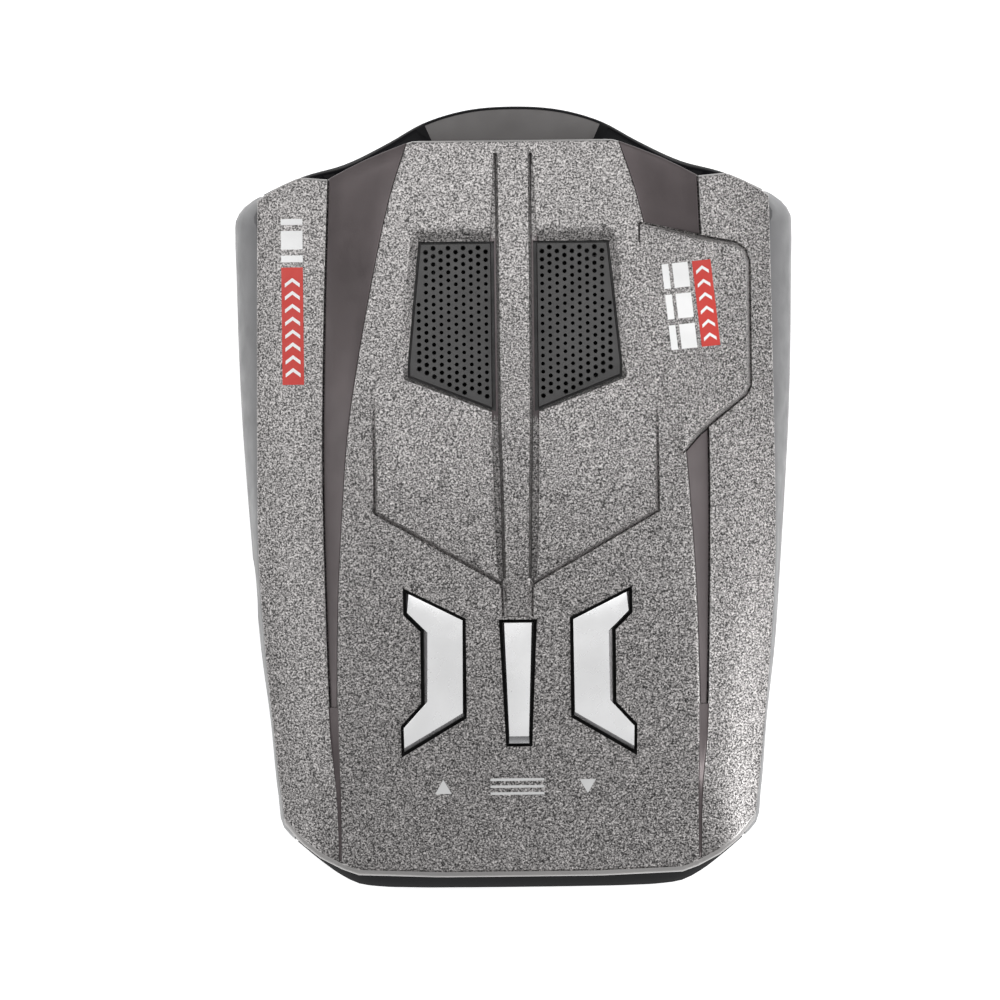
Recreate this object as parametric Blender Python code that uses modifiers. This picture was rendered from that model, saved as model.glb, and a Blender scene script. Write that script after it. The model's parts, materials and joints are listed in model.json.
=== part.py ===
"""A compact dashboard radar detector, built piece by piece.

Frame: +Z is up and the rubber feet stand on z = 0. +Y is the front, where the lens looks down the
road. +X is the side that carries the raised pod. Dimensions are in millimetres, and every mesh is
scaled to metres as it is made.
"""
import math

import bmesh
import bpy
from mathutils import Vector

MM = 0.001
GAP = 0.3                 # clearance between neighbouring pieces
SHELL = 1.6               # wall thickness of the top shell
WALL = 1.8                # wall thickness of the bottom shell
BASE_Z = 0.9              # underside of the bottom shell
FLOOR_Z = 2.7             # its inner floor
WIDEST_Z = 9.0            # height at which the case is widest
LENS_SILL_Z = 6.0         # top of the low front wall, under the lens
WINDOW_SILL_Z = 7.0       # top of the low rear wall, under the display window
LENS_CUT_Y = 40.6         # the side walls end here, and the lens begins
SKIRT_RELIEF_X = 32.6     # nearer the middle than this they end sooner, to clear the top shell's skirt
SKIRT_RELIEF_Y = 39.2
LENS_TUCK = 1.2           # how far the lens reaches under the top shell's edge
WINDOW_TUCK = 1.3
WINDOW_CUT_X = 30.2       # the rear wall is open between -x and +x
BOARD_TOP_Z = 18.2
BOARD_THICKNESS = 1.6
SWITCH_BORE_Z = 19.7       # floor of the bore that each plunger sinks into
PLUNGER_Z = 20.2          # underside of a plunger at rest, clear of its bore's floor by more than its travel
PLUNGER_TOP_Z = 22.1
PLUNGER_RADIUS = 1.75

# Plan and height lines of the right half. Those that run front to back are (y, value) pairs.
CROWN = 1.1               # how far the bonnet falls off at CROWN_X
CROWN_X = 24.0
BONNET_Z = [(-50.6, 20.4), (-40, 22.6), (-30, 24.6), (-20, 26.3), (-10, 27.6), (0, 28.5), (10, 29.0),
            (20, 29.1), (30, 28.7), (40, 27.8), (47.5, 26.6)]
WING_Z = [(-50, 19.35), (-40, 21.35), (-30, 22.1), (-20, 22.6), (0, 23.0), (20, 22.9), (34, 22.3), (43, 21.6)]
CREASE_Z = [(-44, 18.4), (-30, 18.9), (-10, 19.6), (10, 19.9), (25, 19.6), (40, 18.6)]
FACET_INNER_X = [(-50, 23.9), (-40, 23.9), (-30, 24.1), (-13.6, 23.8), (-1.6, 23.1), (9.1, 22.2),
                 (20.4, 20.4), (31.8, 18.2), (40.4, 16.2), (47.5, 13.9)]
FACET_OUTER_X = [(-50, 24.25), (-40, 24.5), (-31, 25.3), (-13.6, 25.8), (5, 26.0), (23.8, 25.6), (43, 24.9)]
CREASE_X = [(-43.6, 31.5), (-34.5, 32.5), (-21, 33.8), (-8, 34.6), (4, 34.65), (20, 34.5), (39.9, 34.25)]
SIDE_X = [(-45, 31.4), (-42, 32.2), (-31.5, 33.2), (-19.9, 34.6), (-3.9, 35.8), (7.5, 36.6), (20, 37.1),
          (36.8, 37.4)]
# Front and rear edges of the top shell are (x, y) pairs.
FRONT_EDGE = [(0, 47.5), (13.2, 47.5), (15, 47.0), (17.4, 46.05), (20, 45), (22.7, 43.7), (24.8, 42.6),
              (28.5, 42.95), (31, 41.9), (33.4, 40.6), (34.3, 39.9)]
REAR_EDGE = [(0, -50.55), (10.6, -50.55), (21.7, -50.15), (23.9, -49.4), (26.75, -47.95), (29.4, -45.9),
             (31.5, -43.6)]
# Case outline ahead of and behind the side walls, as (x, y, lean): lean is how far the face leans
# inwards by the time it reaches the top shell.
FRONT_ARC = [(0, 52.45, 0.5), (6.7, 51.9, 0.5), (12, 50.3, 0.5), (16.7, 47.7, 0.5), (22.7, 44.85, 0.6),
             (28.1, 43.35, 0.5), (33.4, 41.0, 0.9), (36.1, 39.3, 1.9), (37.33, 37.4, 2.8), (37.42, 35.7, 2.9)]
REAR_ARC = [(29.9, -46.15, 0.6), (26.75, -48.8, 0.7), (24.2, -50.65, 1.1), (21.7, -51.9, 1.7),
            (19, -52.3, 1.95), (0, -52.6, 2.05)]

SPINE_HALF = [(-16.1, 1.75), (-9, 1.95), (0, 2.1), (11, 2.35), (26, 2.4), (46.6, 2.45)]
SPINE_RISE = [(-16.1, 0.45), (-11, 0.9), (0, 1.1), (15, 0.9), (30, 0.9), (46.6, 0.15)]
CHANNEL_HALF = [(-11.2, 2.5), (-8.5, 2.75), (0, 3.0), (10, 3.15), (34, 3.15), (45.5, 2.6)]
PANEL_HALF = 18.8
PANEL_RISE = 0.7
PANEL_FRONT_Y = 15.5

POD_FRONT = [(16.9, 36.1), (24.9, 34.4), (29.6, 33.5), (30.8, 32.7), (31.4, 31.0)]
POD_REAR = [(16.9, 34.1), (17.4, 31.8), (19.6, 20.4), (21.4, 9.1), (22.2, 5.6), (24.6, 8.3), (30.8, 13.3),
            (31.4, 14.4)]
POD_EDGE_X = 31.4
POD_EDGE_Z = 23.4

POCKET_MARGIN = 0.12      # between a facet's edge and the pocket sunk in it
POCKET_DEPTH = 1.2
INLAY_DEPTH = 0.75
INLAY_END_GAP = 0.45      # between an inlay's end and the pod
SKIRT_INSET = 2.0         # the shell's locating skirt runs this far inside its edge
SKIRT_WALL = 0.8
SKIRT_DROP = 1.4

GRILLE_FLOOR = [(2.75, 11.35), (14.3, 15.9), (14.3, 17.8), (12.7, 34.0), (2.75, 34.0)]
GRILLE_LIP = [(2.75, 11.2), (14.6, 15.75), (15.6, 17.2), (13.6, 35.4), (2.75, 35.4)]
HOLE_RADIUS = 0.45
HOLE_PITCH_X = 2.0
HOLE_PITCH_Y = 1.15

SIDE_BUTTON = [(15.3, -12.1), (6.95, -16.25), (6.95, -29.6), (15.75, -34.8), (15.8, -30.55),
               (13.05, -27.6), (13.05, -17.95), (15.3, -15.7)]
MENU_BUTTON = [(-2.55, -16.45), (-1.75, -33.45), (1.75, -33.45), (2.55, -16.45)]
SWITCH_AT = {"up": (-10.5, -23.0), "menu": (0.0, -24.5), "down": (10.5, -23.0)}

CASE_SCREWS = {"front_left": (-29.0, 31.0), "front_right": (29.0, 31.0),
               "rear_left": (-26.5, -38.0), "rear_right": (26.5, -38.0)}
BOARD_SCREWS = {"front_left": (-19.5, 4.0), "front_right": (19.5, 4.0),
                "rear_left": (-19.5, -38.5), "rear_right": (19.5, -38.5)}
FEET = {"front_left": (-20.0, 36.0), "front_right": (20.0, 36.0),
        "rear_left": (-18.0, -43.0), "rear_right": (18.0, -43.0)}
SPEAKER_AT = (0.0, 22.9)
SPEAKER_EAR_X = 17.4
SOCKET_Y = -12.0
SOCKET_Z = 9.0


# ---------------------------------------------------------------- scene and materials

def clear_scene():
    for obj in list(bpy.data.objects):
        bpy.data.objects.remove(obj, do_unlink=True)
    for collection in list(bpy.data.collections):
        bpy.data.collections.remove(collection)


def new_collection(name):
    collection = bpy.data.collections.new(name)
    bpy.context.scene.collection.children.link(collection)
    return collection


def new_material(name, colour, roughness, metallic=0.0):
    material = bpy.data.materials.new(name)
    material.use_nodes = True
    shader = material.node_tree.nodes["Principled BSDF"]
    shader.inputs["Base Color"].default_value = (*colour, 1.0)
    shader.inputs["Roughness"].default_value = roughness
    shader.inputs["Metallic"].default_value = metallic
    return material


clear_scene()
PARTS = new_collection("radar_detector")
CUTTERS = new_collection("cutters")
ROOT = bpy.data.objects.new("radar_detector_origin", None)
PARTS.objects.link(ROOT)

SILVER = new_material("textured_silver", (0.32, 0.31, 0.31), 0.42, 0.6)
GREY = new_material("smooth_grey", (0.27, 0.27, 0.28), 0.35, 0.3)
BLACK_GLOSS = new_material("gloss_black", (0.012, 0.012, 0.013), 0.08)
GRILLE_GREY = new_material("grille_grey", (0.05, 0.05, 0.052), 0.45)
INLAY_DARK = new_material("inlay_dark", (0.11, 0.1, 0.1), 0.3, 0.4)
CHROME = new_material("button_chrome", (0.75, 0.75, 0.76), 0.2, 0.9)
RUBBER = new_material("rubber", (0.03, 0.03, 0.03), 0.8)
PAPER = new_material("label", (0.7, 0.7, 0.7), 0.5)
STEEL = new_material("steel", (0.55, 0.55, 0.56), 0.3, 1.0)
BOARD_GREEN = new_material("board_green", (0.02, 0.16, 0.06), 0.45)
BLACK_PLASTIC = new_material("black_plastic", (0.025, 0.025, 0.025), 0.5)
CAST_METAL = new_material("cast_metal", (0.45, 0.45, 0.46), 0.5, 0.9)
TINPLATE = new_material("tinplate", (0.6, 0.6, 0.6), 0.25, 1.0)
CLEAR_RED = new_material("clear_red", (0.25, 0.01, 0.01), 0.05)
WHITE_PLASTIC = new_material("white_plastic", (0.75, 0.75, 0.72), 0.4)
PAPER_CONE = new_material("paper_cone", (0.05, 0.05, 0.05), 0.8)
FOAM = new_material("foam", (0.06, 0.06, 0.06), 0.95)
RED_WIRE = new_material("red_wire", (0.5, 0.02, 0.02), 0.4)
BLACK_WIRE = new_material("black_wire", (0.02, 0.02, 0.02), 0.4)
BRASS = new_material("brass", (0.7, 0.5, 0.2), 0.3, 1.0)


# ---------------------------------------------------------------- lines and surfaces

def straight(points, at):
    """Value at a place on the straight-sided line through (place, value) points."""
    if at <= points[0][0]:
        return points[0][1]
    for (at0, value0), (at1, value1) in zip(points, points[1:]):
        if at <= at1:
            return value0 + (value1 - value0) * (at - at0) / (at1 - at0)
    return points[-1][1]


def smooth(points, at):
    """The same on a smooth curve through the points."""
    at = min(max(at, points[0][0]), points[-1][0])
    index = next(i for i in range(1, len(points)) if at <= points[i][0])
    (at0, value0), (at1, value1) = points[index - 1], points[index]

    def slope(i):
        low = points[max(i - 1, 0)]
        high = points[min(i + 1, len(points) - 1)]
        return (high[1] - low[1]) / (high[0] - low[0])

    span = at1 - at0
    u = (at - at0) / span
    value = (2 * u**3 - 3 * u**2 + 1) * value0 + (3 * u**2 - 2 * u**3) * value1
    return value + span * ((u**3 - 2 * u**2 + u) * slope(index - 1) + (u**3 - u**2) * slope(index))


def mix(a, b, share):
    return a + (b - a) * share


def bonnet_z(x, y):
    return smooth(BONNET_Z, y) - CROWN * (x / CROWN_X) ** 2


def surface_z(x, y):
    """Height of the top shell's outer face, without the spine, panel and pod."""
    x = abs(x)
    inner = smooth(FACET_INNER_X, y)
    outer = smooth(FACET_OUTER_X, y)
    crease = smooth(CREASE_X, y)
    if x <= inner:
        return bonnet_z(x, y)
    if x <= outer:
        return mix(bonnet_z(inner, y), smooth(WING_Z, y), (x - inner) / (outer - inner))
    share = min((x - outer) / (crease - outer), 1.0)
    bulge = 0.5 * math.sin(math.pi * share)
    return mix(smooth(WING_Z, y), smooth(CREASE_Z, y), share) + bulge


def underside_z(x, y):
    """Height of the shell's inner face: lower on a steep stretch, so that the wall stays as thick."""
    return surface_z(abs(x) + 1.2, y) - SHELL


def raised(rise):
    return lambda x, y: surface_z(x, y) + rise


def lowered_underside(drop):
    return lambda x, y: underside_z(x, y) - drop


def inset(outline, distance):
    """The outline moved inwards, with sharp corners. Outlines run anticlockwise."""
    moved = []
    for index, point in enumerate(outline):
        before = Vector(outline[index - 1])
        here = Vector(point)
        after = Vector(outline[(index + 1) % len(outline)])
        side_in = (here - before).normalized()
        side_out = (after - here).normalized()
        normal_in = Vector((side_in.y, -side_in.x))
        normal_out = Vector((side_out.y, -side_out.x))
        corner = (normal_in + normal_out) / (1.0 + normal_in.dot(normal_out))
        moved.append(tuple(here - corner * distance))
    return moved


def mirrored(outline):
    return [(-x, y) for x, y in reversed(outline)]


def circle(x, y, radius, segments):
    step = 2 * math.pi / segments
    return [(x + radius * math.cos(i * step), y + radius * math.sin(i * step)) for i in range(segments)]


# ---------------------------------------------------------------- mesh tools

def height(z, x, y):
    return z(x, y) if callable(z) else z


def add_loft(mesh, rings):
    """Joins rings of equally many points into one closed solid."""
    rows = [[mesh.verts.new(point) for point in ring] for ring in rings]
    count = len(rows[0])
    for low, high in zip(rows, rows[1:]):
        for i in range(count):
            j = (i + 1) % count
            mesh.faces.new((low[i], low[j], high[j], high[i]))
    mesh.faces.new(list(reversed(rows[0])))
    mesh.faces.new(rows[-1])


def add_tower(mesh, levels):
    """A solid through (outline, z) levels, where z is a height or a function of x and y."""
    add_loft(mesh, [[(x, y, height(z, x, y)) for x, y in outline] for outline, z in levels])


def add_ring(mesh, outer, inner, top, bottom):
    """A closed rim between two outlines of equally many points."""
    corners = [(outer, bottom), (outer, top), (inner, top), (inner, bottom)]
    loops = [[mesh.verts.new((x, y, z(x, y))) for x, y in outline] for outline, z in corners]
    for loop, following in zip(loops, loops[1:] + loops[:1]):
        for i in range(-1, len(outer) - 1):
            mesh.faces.new((loop[i], loop[i + 1], following[i + 1], following[i]))


def add_box(mesh, low, high):
    made = bmesh.ops.create_cube(mesh, size=1.0)
    size = Vector(high) - Vector(low)
    bmesh.ops.scale(mesh, vec=size, verts=made["verts"])
    bmesh.ops.translate(mesh, vec=(Vector(low) + Vector(high)) / 2, verts=made["verts"])


def add_slab(mesh, columns, rear, front, top, bottom, rows):
    """A solid between two height functions. Each column is x as a function of y, and it runs from
    rear(x) to front(x)."""
    grid = []
    for column in columns:
        low_y = rear(column(-45.0))
        high_y = front(column(45.0))
        for _ in range(8):
            low_y = rear(column(low_y))
            high_y = front(column(high_y))
        places = [mix(low_y, high_y, row / rows) for row in range(rows + 1)]
        grid.append([(column(y), y) for y in places])
    layers = [[[mesh.verts.new((x, y, height(z, x, y))) for x, y in line] for line in grid]
              for z in (bottom, top)]
    for layer in layers:
        for left, right in zip(layer, layer[1:]):
            for row in range(rows):
                mesh.faces.new((left[row], right[row], right[row + 1], left[row + 1]))
    low, high = layers
    for line in (0, -1):
        for row in range(rows):
            mesh.faces.new((low[line][row], low[line][row + 1], high[line][row + 1], high[line][row]))
    for row in (0, -1):
        for line in range(len(columns) - 1):
            mesh.faces.new((low[line][row], low[line + 1][row], high[line + 1][row], high[line][row]))


def add_peg(mesh, x, y, radius, z0, z1, segments=16):
    add_tower(mesh, [(circle(x, y, radius, segments), z0), (circle(x, y, radius, segments), z1)])


def new_object(name, mesh, collection, origin=(0, 0, 0), smooth_angle=None):
    """Turns millimetre geometry into an object in metres, with its origin where it is wanted."""
    bmesh.ops.translate(mesh, vec=-Vector(origin), verts=mesh.verts)
    bmesh.ops.scale(mesh, vec=(MM, MM, MM), verts=mesh.verts)
    bmesh.ops.recalc_face_normals(mesh, faces=mesh.faces)
    data = bpy.data.meshes.new(name)
    mesh.to_mesh(data)
    mesh.free()
    if smooth_angle:
        data.shade_smooth()
        data.set_sharp_from_angle(angle=math.radians(smooth_angle))
    obj = bpy.data.objects.new(name, data)
    obj.location = Vector(origin) * MM
    collection.objects.link(obj)
    return obj


def part(name, mesh, material, origin=(0, 0, 0), bevel=0.0, smooth_angle=None):
    obj = new_object(name, mesh, PARTS, origin, smooth_angle)
    obj.data.materials.append(material)
    obj.parent = ROOT
    if bevel:
        modifier = obj.modifiers.new("rounded_edges", "BEVEL")
        modifier.width = bevel * MM
        modifier.segments = 1
        modifier.limit_method = "ANGLE"
    return obj


def combine(target, name, mesh, operation):
    tool = new_object(name, mesh, CUTTERS)
    tool.hide_render = True
    tool.display_type = "WIRE"
    modifier = target.modifiers.new(name, "BOOLEAN")
    modifier.operation = operation
    modifier.object = tool


def cut(target, name, mesh):
    combine(target, name, mesh, "DIFFERENCE")


def join(target, name, mesh):
    combine(target, name, mesh, "UNION")


def turned(name, profile, material, location, segments=24, tilt=(0, 0, 0)):
    """A profile of (radius, z) points turned round the z axis, then tilted and placed. The profile
    runs down its outer side."""
    mesh = bmesh.new()
    points = [mesh.verts.new((radius, 0, z)) for radius, z in profile]
    for start, end in zip(points, points[1:]):
        mesh.edges.new((start, end))
    if profile[0][0] > 0:
        mesh.edges.new((points[-1], points[0]))
    bmesh.ops.scale(mesh, vec=(MM, MM, MM), verts=mesh.verts)
    data = bpy.data.meshes.new(name)
    mesh.to_mesh(data)
    mesh.free()
    obj = bpy.data.objects.new(name, data)
    obj.location = Vector(location) * MM
    obj.rotation_euler = tilt
    PARTS.objects.link(obj)
    obj.data.materials.append(material)
    obj.parent = ROOT
    screw = obj.modifiers.new("turned", "SCREW")
    screw.steps = segments
    screw.render_steps = segments
    screw.use_merge_vertices = True
    screw.merge_threshold = 0.01 * MM
    return obj


# ---------------------------------------------------------------- case

def shell_columns():
    """Lines that run front to back over the top shell: bonnet, facets, wings, crease."""
    right = []
    for share in (0.25, 0.5, 0.75, 1.0):
        right.append(lambda y, share=share: share * smooth(FACET_INNER_X, y))
    for share in (0.0, 0.33, 0.67, 1.0):
        right.append(lambda y, share=share: mix(smooth(FACET_OUTER_X, y), smooth(CREASE_X, y), share))
    left = [lambda y, line=line: -line(y) for line in reversed(right)]
    return left + [lambda y: 0.0] + right


def front_edge_y(x):
    return straight(FRONT_EDGE, abs(x))


def rear_edge_y(x):
    return straight(REAR_EDGE, abs(x))


def panel_top(x, y):
    share = min((PANEL_FRONT_Y - y) / 14.0, 1.0)
    return surface_z(x, y) + PANEL_RISE * share - 0.05


def panel_rear_y(x):
    return -11.3 + 0.57 * max(abs(x) - 2.6, 0.0)


def pod_top(x, y):
    inner = smooth(FACET_INNER_X, y)
    if x <= inner:
        return bonnet_z(x, y) - 0.05
    return mix(bonnet_z(inner, y), POD_EDGE_Z, (x - inner) / (POD_EDGE_X - inner)) - 0.05


def facet_columns(side, margin):
    """Three lines along the facet on one side, kept off its two edges."""
    def line(share):
        def place(y):
            low = smooth(FACET_INNER_X, y) + margin
            high = smooth(FACET_OUTER_X, y) - margin
            return side * mix(low, high, share)
        return place
    lines = [line(0.0), line(0.5), line(1.0)]
    return lines if side > 0 else lines[::-1]


INLAY_REAR_Y = -28.0
INLAYS = {
    "left": (-1, lambda x: INLAY_REAR_Y, front_edge_y),
    "right_front": (1, lambda x: straight(POD_FRONT, abs(x)) + INLAY_END_GAP, front_edge_y),
    "right_rear": (1, lambda x: INLAY_REAR_Y, lambda x: straight(POD_REAR, abs(x)) - INLAY_END_GAP),
}


def shell_outline():
    """The top shell's edge in plan, anticlockwise from the front, with its front corners cut short."""
    side = [(smooth(CREASE_X, y), y) for y in range(36, -41, -6)]
    right = FRONT_EDGE[:-1] + side + REAR_EDGE[::-1]
    left = [(-x, y) for x, y in right if x > 0]
    return left + right[::-1]


def channel_rings(half, low, high, rear, front, step):
    """Four-sided rings along the centre line, from rear to front."""
    count = round((front - rear) / step)
    rings = []
    for index in range(count + 1):
        y = mix(rear, front, index / count)
        x = smooth(half, y)
        z_low = surface_z(0, y) + height(low, 0, y)
        z_high = surface_z(0, y) + height(high, 0, y)
        rings.append((x, y, z_low, z_high))
    return rings


def make_top_shell():
    mesh = bmesh.new()
    add_slab(mesh, shell_columns(), rear_edge_y, front_edge_y, surface_z, underside_z, 18)
    shell = part("top_shell", mesh, SILVER, smooth_angle=20)

    mesh = bmesh.new()
    outline = shell_outline()
    add_ring(mesh, inset(outline, SKIRT_INSET), inset(outline, SKIRT_INSET + SKIRT_WALL),
             lowered_underside(-0.6), lowered_underside(SKIRT_DROP))
    join(shell, "skirt", mesh)

    mesh = bmesh.new()
    columns = [lambda y, x=x: x for x in (-PANEL_HALF, -13, -8, -2.6, 2.6, 8, 13, PANEL_HALF)]
    add_slab(mesh, columns, panel_rear_y, lambda x: PANEL_FRONT_Y, panel_top, raised(-0.9), 8)
    join(shell, "hexagonal_panel", mesh)

    mesh = bmesh.new()
    columns = [lambda y, x=x: x for x in (16.9, 18.5, 20.5, 22.2, 24.6, 27.2, 29.6, 30.8, POD_EDGE_X)]
    add_slab(mesh, columns, lambda x: straight(POD_REAR, x), lambda x: straight(POD_FRONT, x),
             pod_top, raised(-0.9), 8)
    join(shell, "pod", mesh)

    for name, (side, rear, front) in INLAYS.items():
        overrun = 1.5 if front is front_edge_y else GAP
        mesh = bmesh.new()
        add_slab(mesh, facet_columns(side, POCKET_MARGIN), lambda x: rear(x) - GAP,
                 lambda x: front(x) + overrun, raised(1.5), raised(-POCKET_DEPTH), 16)
        cut(shell, "pocket_" + name, mesh)

    mesh = bmesh.new()
    rings = channel_rings(CHANNEL_HALF, -0.9, 3.0, -11.2, 45.5, 4.0)
    add_loft(mesh, [[(-x, y, z0), (x, y, z0), (x, y, z1), (-x, y, z1)] for x, y, z0, z1 in rings])
    cut(shell, "spine_channel", mesh)

    mesh = bmesh.new()
    rings = channel_rings(SPINE_HALF, -1.25, lambda x, y: smooth(SPINE_RISE, y), -16.1, 46.6, 4.0)
    draft = 0.35
    add_loft(mesh, [[(-x, y, z0), (x, y, z0), (x - draft, y, z1), (draft - x, y, z1)]
                    for x, y, z0, z1 in rings])
    join(shell, "spine", mesh)

    for name, flip in (("left", mirrored), ("right", list)):
        mesh = bmesh.new()
        floor = flip(GRILLE_FLOOR)
        lip = flip(GRILLE_LIP)
        over = [(mix(fx, lx, 2.5), mix(fy, ly, 2.5)) for (fx, fy), (lx, ly) in zip(floor, lip)]
        add_tower(mesh, [(floor, raised(-4.0)), (floor, raised(-0.9)), (over, raised(1.35))])
        cut(shell, "grille_opening_" + name, mesh)

    for name, outline in button_outlines().items():
        mesh = bmesh.new()
        add_tower(mesh, [(outline, raised(-5.0)), (outline, raised(2.5))])
        cut(shell, "opening_" + name, mesh)

    mesh = bmesh.new()
    for x, y in CASE_SCREWS.values():
        add_tower(mesh, [(circle(x, y, 2.8, 16), 12.3), (circle(x, y, 2.8, 16), raised(-0.8))])
    for side in (-1, 1):
        post = circle(side * SPEAKER_EAR_X, SPEAKER_AT[1], 1.7, 12)
        add_tower(mesh, [(post, 24.9), (post, raised(-0.8))])
    join(shell, "posts", mesh)

    mesh = bmesh.new()
    for x, y in CASE_SCREWS.values():
        add_peg(mesh, x, y, 1.25, 10.0, 18.0, 12)
    for side in (-1, 1):
        add_peg(mesh, side * SPEAKER_EAR_X, SPEAKER_AT[1], 0.95, 23.0, 26.8, 10)
    cut(shell, "screw_pilots", mesh)


def button_outlines():
    return {"button_up": mirrored(SIDE_BUTTON), "button_menu": MENU_BUTTON, "button_down": SIDE_BUTTON}


def case_ring():
    """The case's widest outline with the lean of its upper wall, anticlockwise from the front."""
    places = [y for y in range(30, -41, -10)]
    side = [(smooth(SIDE_X, y), y, smooth(SIDE_X, y) - smooth(CREASE_X, y)) for y in places]
    corner = [(31.75, -44.2, 0.6)]
    right = FRONT_ARC + side + corner + REAR_ARC
    left = [(-x, y, lean) for x, y, lean in right if x > 0]
    return left + list(reversed(right))


def case_levels():
    """Outer then inner outlines of the bottom shell, each with its height."""
    ring = case_ring()
    outline = [(x, y) for x, y, _ in ring]
    wide = inset(outline, 0.0)

    def leaned(extra):
        steps = [Vector(a) - Vector(b) for a, b in zip(inset(outline, 1.0), wide)]
        return [tuple(Vector(p) + s * (r[2] + extra)) for p, s, r in zip(wide, steps, ring)]

    def wall_top(x, y):
        return smooth(CREASE_Z, y) - SHELL - GAP

    return [(inset(outline, 3.2), BASE_Z), (inset(outline, 0.7), 3.2), (wide, WIDEST_Z),
            (leaned(0.0), wall_top), (leaned(1.5), wall_top), (inset(outline, WALL), WIDEST_Z),
            (inset(outline, 2.5), 4.4), (inset(outline, 4.4), FLOOR_Z)]


def make_bottom_shell():
    mesh = bmesh.new()
    add_tower(mesh, case_levels())
    shell = part("bottom_shell", mesh, GREY, smooth_angle=20)

    mesh = bmesh.new()
    opening = [(-60, 70), (-60, LENS_CUT_Y), (-SKIRT_RELIEF_X, LENS_CUT_Y), (-SKIRT_RELIEF_X, SKIRT_RELIEF_Y),
               (SKIRT_RELIEF_X, SKIRT_RELIEF_Y), (SKIRT_RELIEF_X, LENS_CUT_Y), (60, LENS_CUT_Y), (60, 70)]
    add_tower(mesh, [(opening, LENS_SILL_Z), (opening, 40.0)])
    add_box(mesh, (-WINDOW_CUT_X, -70, WINDOW_SILL_Z), (WINDOW_CUT_X, -43.0, 40))
    cut(shell, "lens_and_window_openings", mesh)

    mesh = bmesh.new()
    for x, y in CASE_SCREWS.values():
        add_peg(mesh, x, y, 3.4, 1.8, 12.0)
    for x, y in BOARD_SCREWS.values():
        add_peg(mesh, x, y, 2.2, 2.0, BOARD_TOP_Z - BOARD_THICKNESS - GAP)
    for x in (-9.5, 9.5):
        for y in (-10.5, 9.5):
            add_peg(mesh, x, y, 1.5, 2.0, 7.6, 12)
    for y in (20.0, 38.0):
        add_box(mesh, (-7, y, 2.0), (7, y + 1.5, 4.0 - GAP))
    for x in (-13, 13):
        add_box(mesh, (x - 1.5, -42.4, 2.0), (x + 1.5, -41.2, 9.0))
    join(shell, "bosses_and_ribs", mesh)

    mesh = bmesh.new()
    for x, y in CASE_SCREWS.values():
        levels = [(circle(x, y, 2.6, 16), -1.0), (circle(x, y, 2.6, 16), 4.0),
                  (circle(x, y, 1.3, 16), 4.0), (circle(x, y, 1.3, 16), 14.0)]
        add_tower(mesh, levels)
    for x, y in BOARD_SCREWS.values():
        add_peg(mesh, x, y, 1.1, 10.0, 20.0, 10)
    for x, y in FEET.values():
        add_peg(mesh, x, y, 4.0 + GAP, -1.0, 1.6, 16)
    add_box(mesh, (-18, -17, -1), (18, 5, 1.5))
    cut(shell, "screw_holes_and_recesses", mesh)

    mesh = bmesh.new()
    bore = circle(SOCKET_Y, SOCKET_Z, 3.6, 20)
    add_loft(mesh, [[(x, y, z) for y, z in bore] for x in (-40.0, -28.0)])
    cut(shell, "socket_hole", mesh)


def wrapped_panel(name, stations, sill_z, edge_y, tuck, material):
    """A curved window whose lower face is upright, whose upper face leans in, and whose top edge
    tucks under the top shell. Stations are (x, y, lean)."""
    outline = [(x, y) for x, y, _ in stations]
    rings = []
    for index, (x, y, lean) in enumerate(stations):
        before = Vector(outline[max(index - 1, 0)])
        after = Vector(outline[min(index + 1, len(outline) - 1)])
        along = (after - before).normalized()
        inwards = Vector((-along.y, along.x))
        edge_x = min(abs(x), smooth(CREASE_X, y))
        top_z = underside_z(edge_x, edge_y(edge_x)) - GAP
        back = max(lean + tuck, tuck + abs(y - edge_y(edge_x)) if abs(x) < 20 else 0.0)
        profile = [(0.0, sill_z), (0.0, WIDEST_Z), (lean, top_z - 0.5), (lean + 0.4, top_z), (back, top_z),
                   (back, top_z - 1.3), (min(lean + 1.5, back - 0.2), top_z - 1.3), (1.6, WIDEST_Z),
                   (1.6, sill_z)]
        rings.append([(x + inwards.x * d, y + inwards.y * d, z) for d, z in profile])
    mesh = bmesh.new()
    add_loft(mesh, rings)
    return part(name, mesh, material, smooth_angle=25)


def make_windows():
    right = FRONT_ARC
    left = [(-x, y, lean) for x, y, lean in reversed(right) if x > 0]
    lens = wrapped_panel("front_lens", right[::-1] + left[::-1], LENS_SILL_Z + GAP, front_edge_y, LENS_TUCK,
                         BLACK_GLOSS)
    mesh = bmesh.new()
    add_box(mesh, (-60, 0, 0), (60, LENS_CUT_Y + GAP, 60))
    cut(lens, "lens_ends", mesh)

    right = REAR_ARC
    left = [(-x, y, lean) for x, y, lean in reversed(right) if x > 0]
    wrapped_panel("display_window", left[::-1] + right[::-1], WINDOW_SILL_Z + GAP, rear_edge_y, WINDOW_TUCK,
                  BLACK_GLOSS)


def inside(outline, x, y, margin):
    """True for a point that lies inside a convex anticlockwise outline by at least the margin."""
    for index, point in enumerate(outline):
        start = Vector(outline[index - 1])
        side = (Vector(point) - start).normalized()
        if side.x * (y - start.y) - side.y * (x - start.x) < margin:
            return False
    return True


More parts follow.
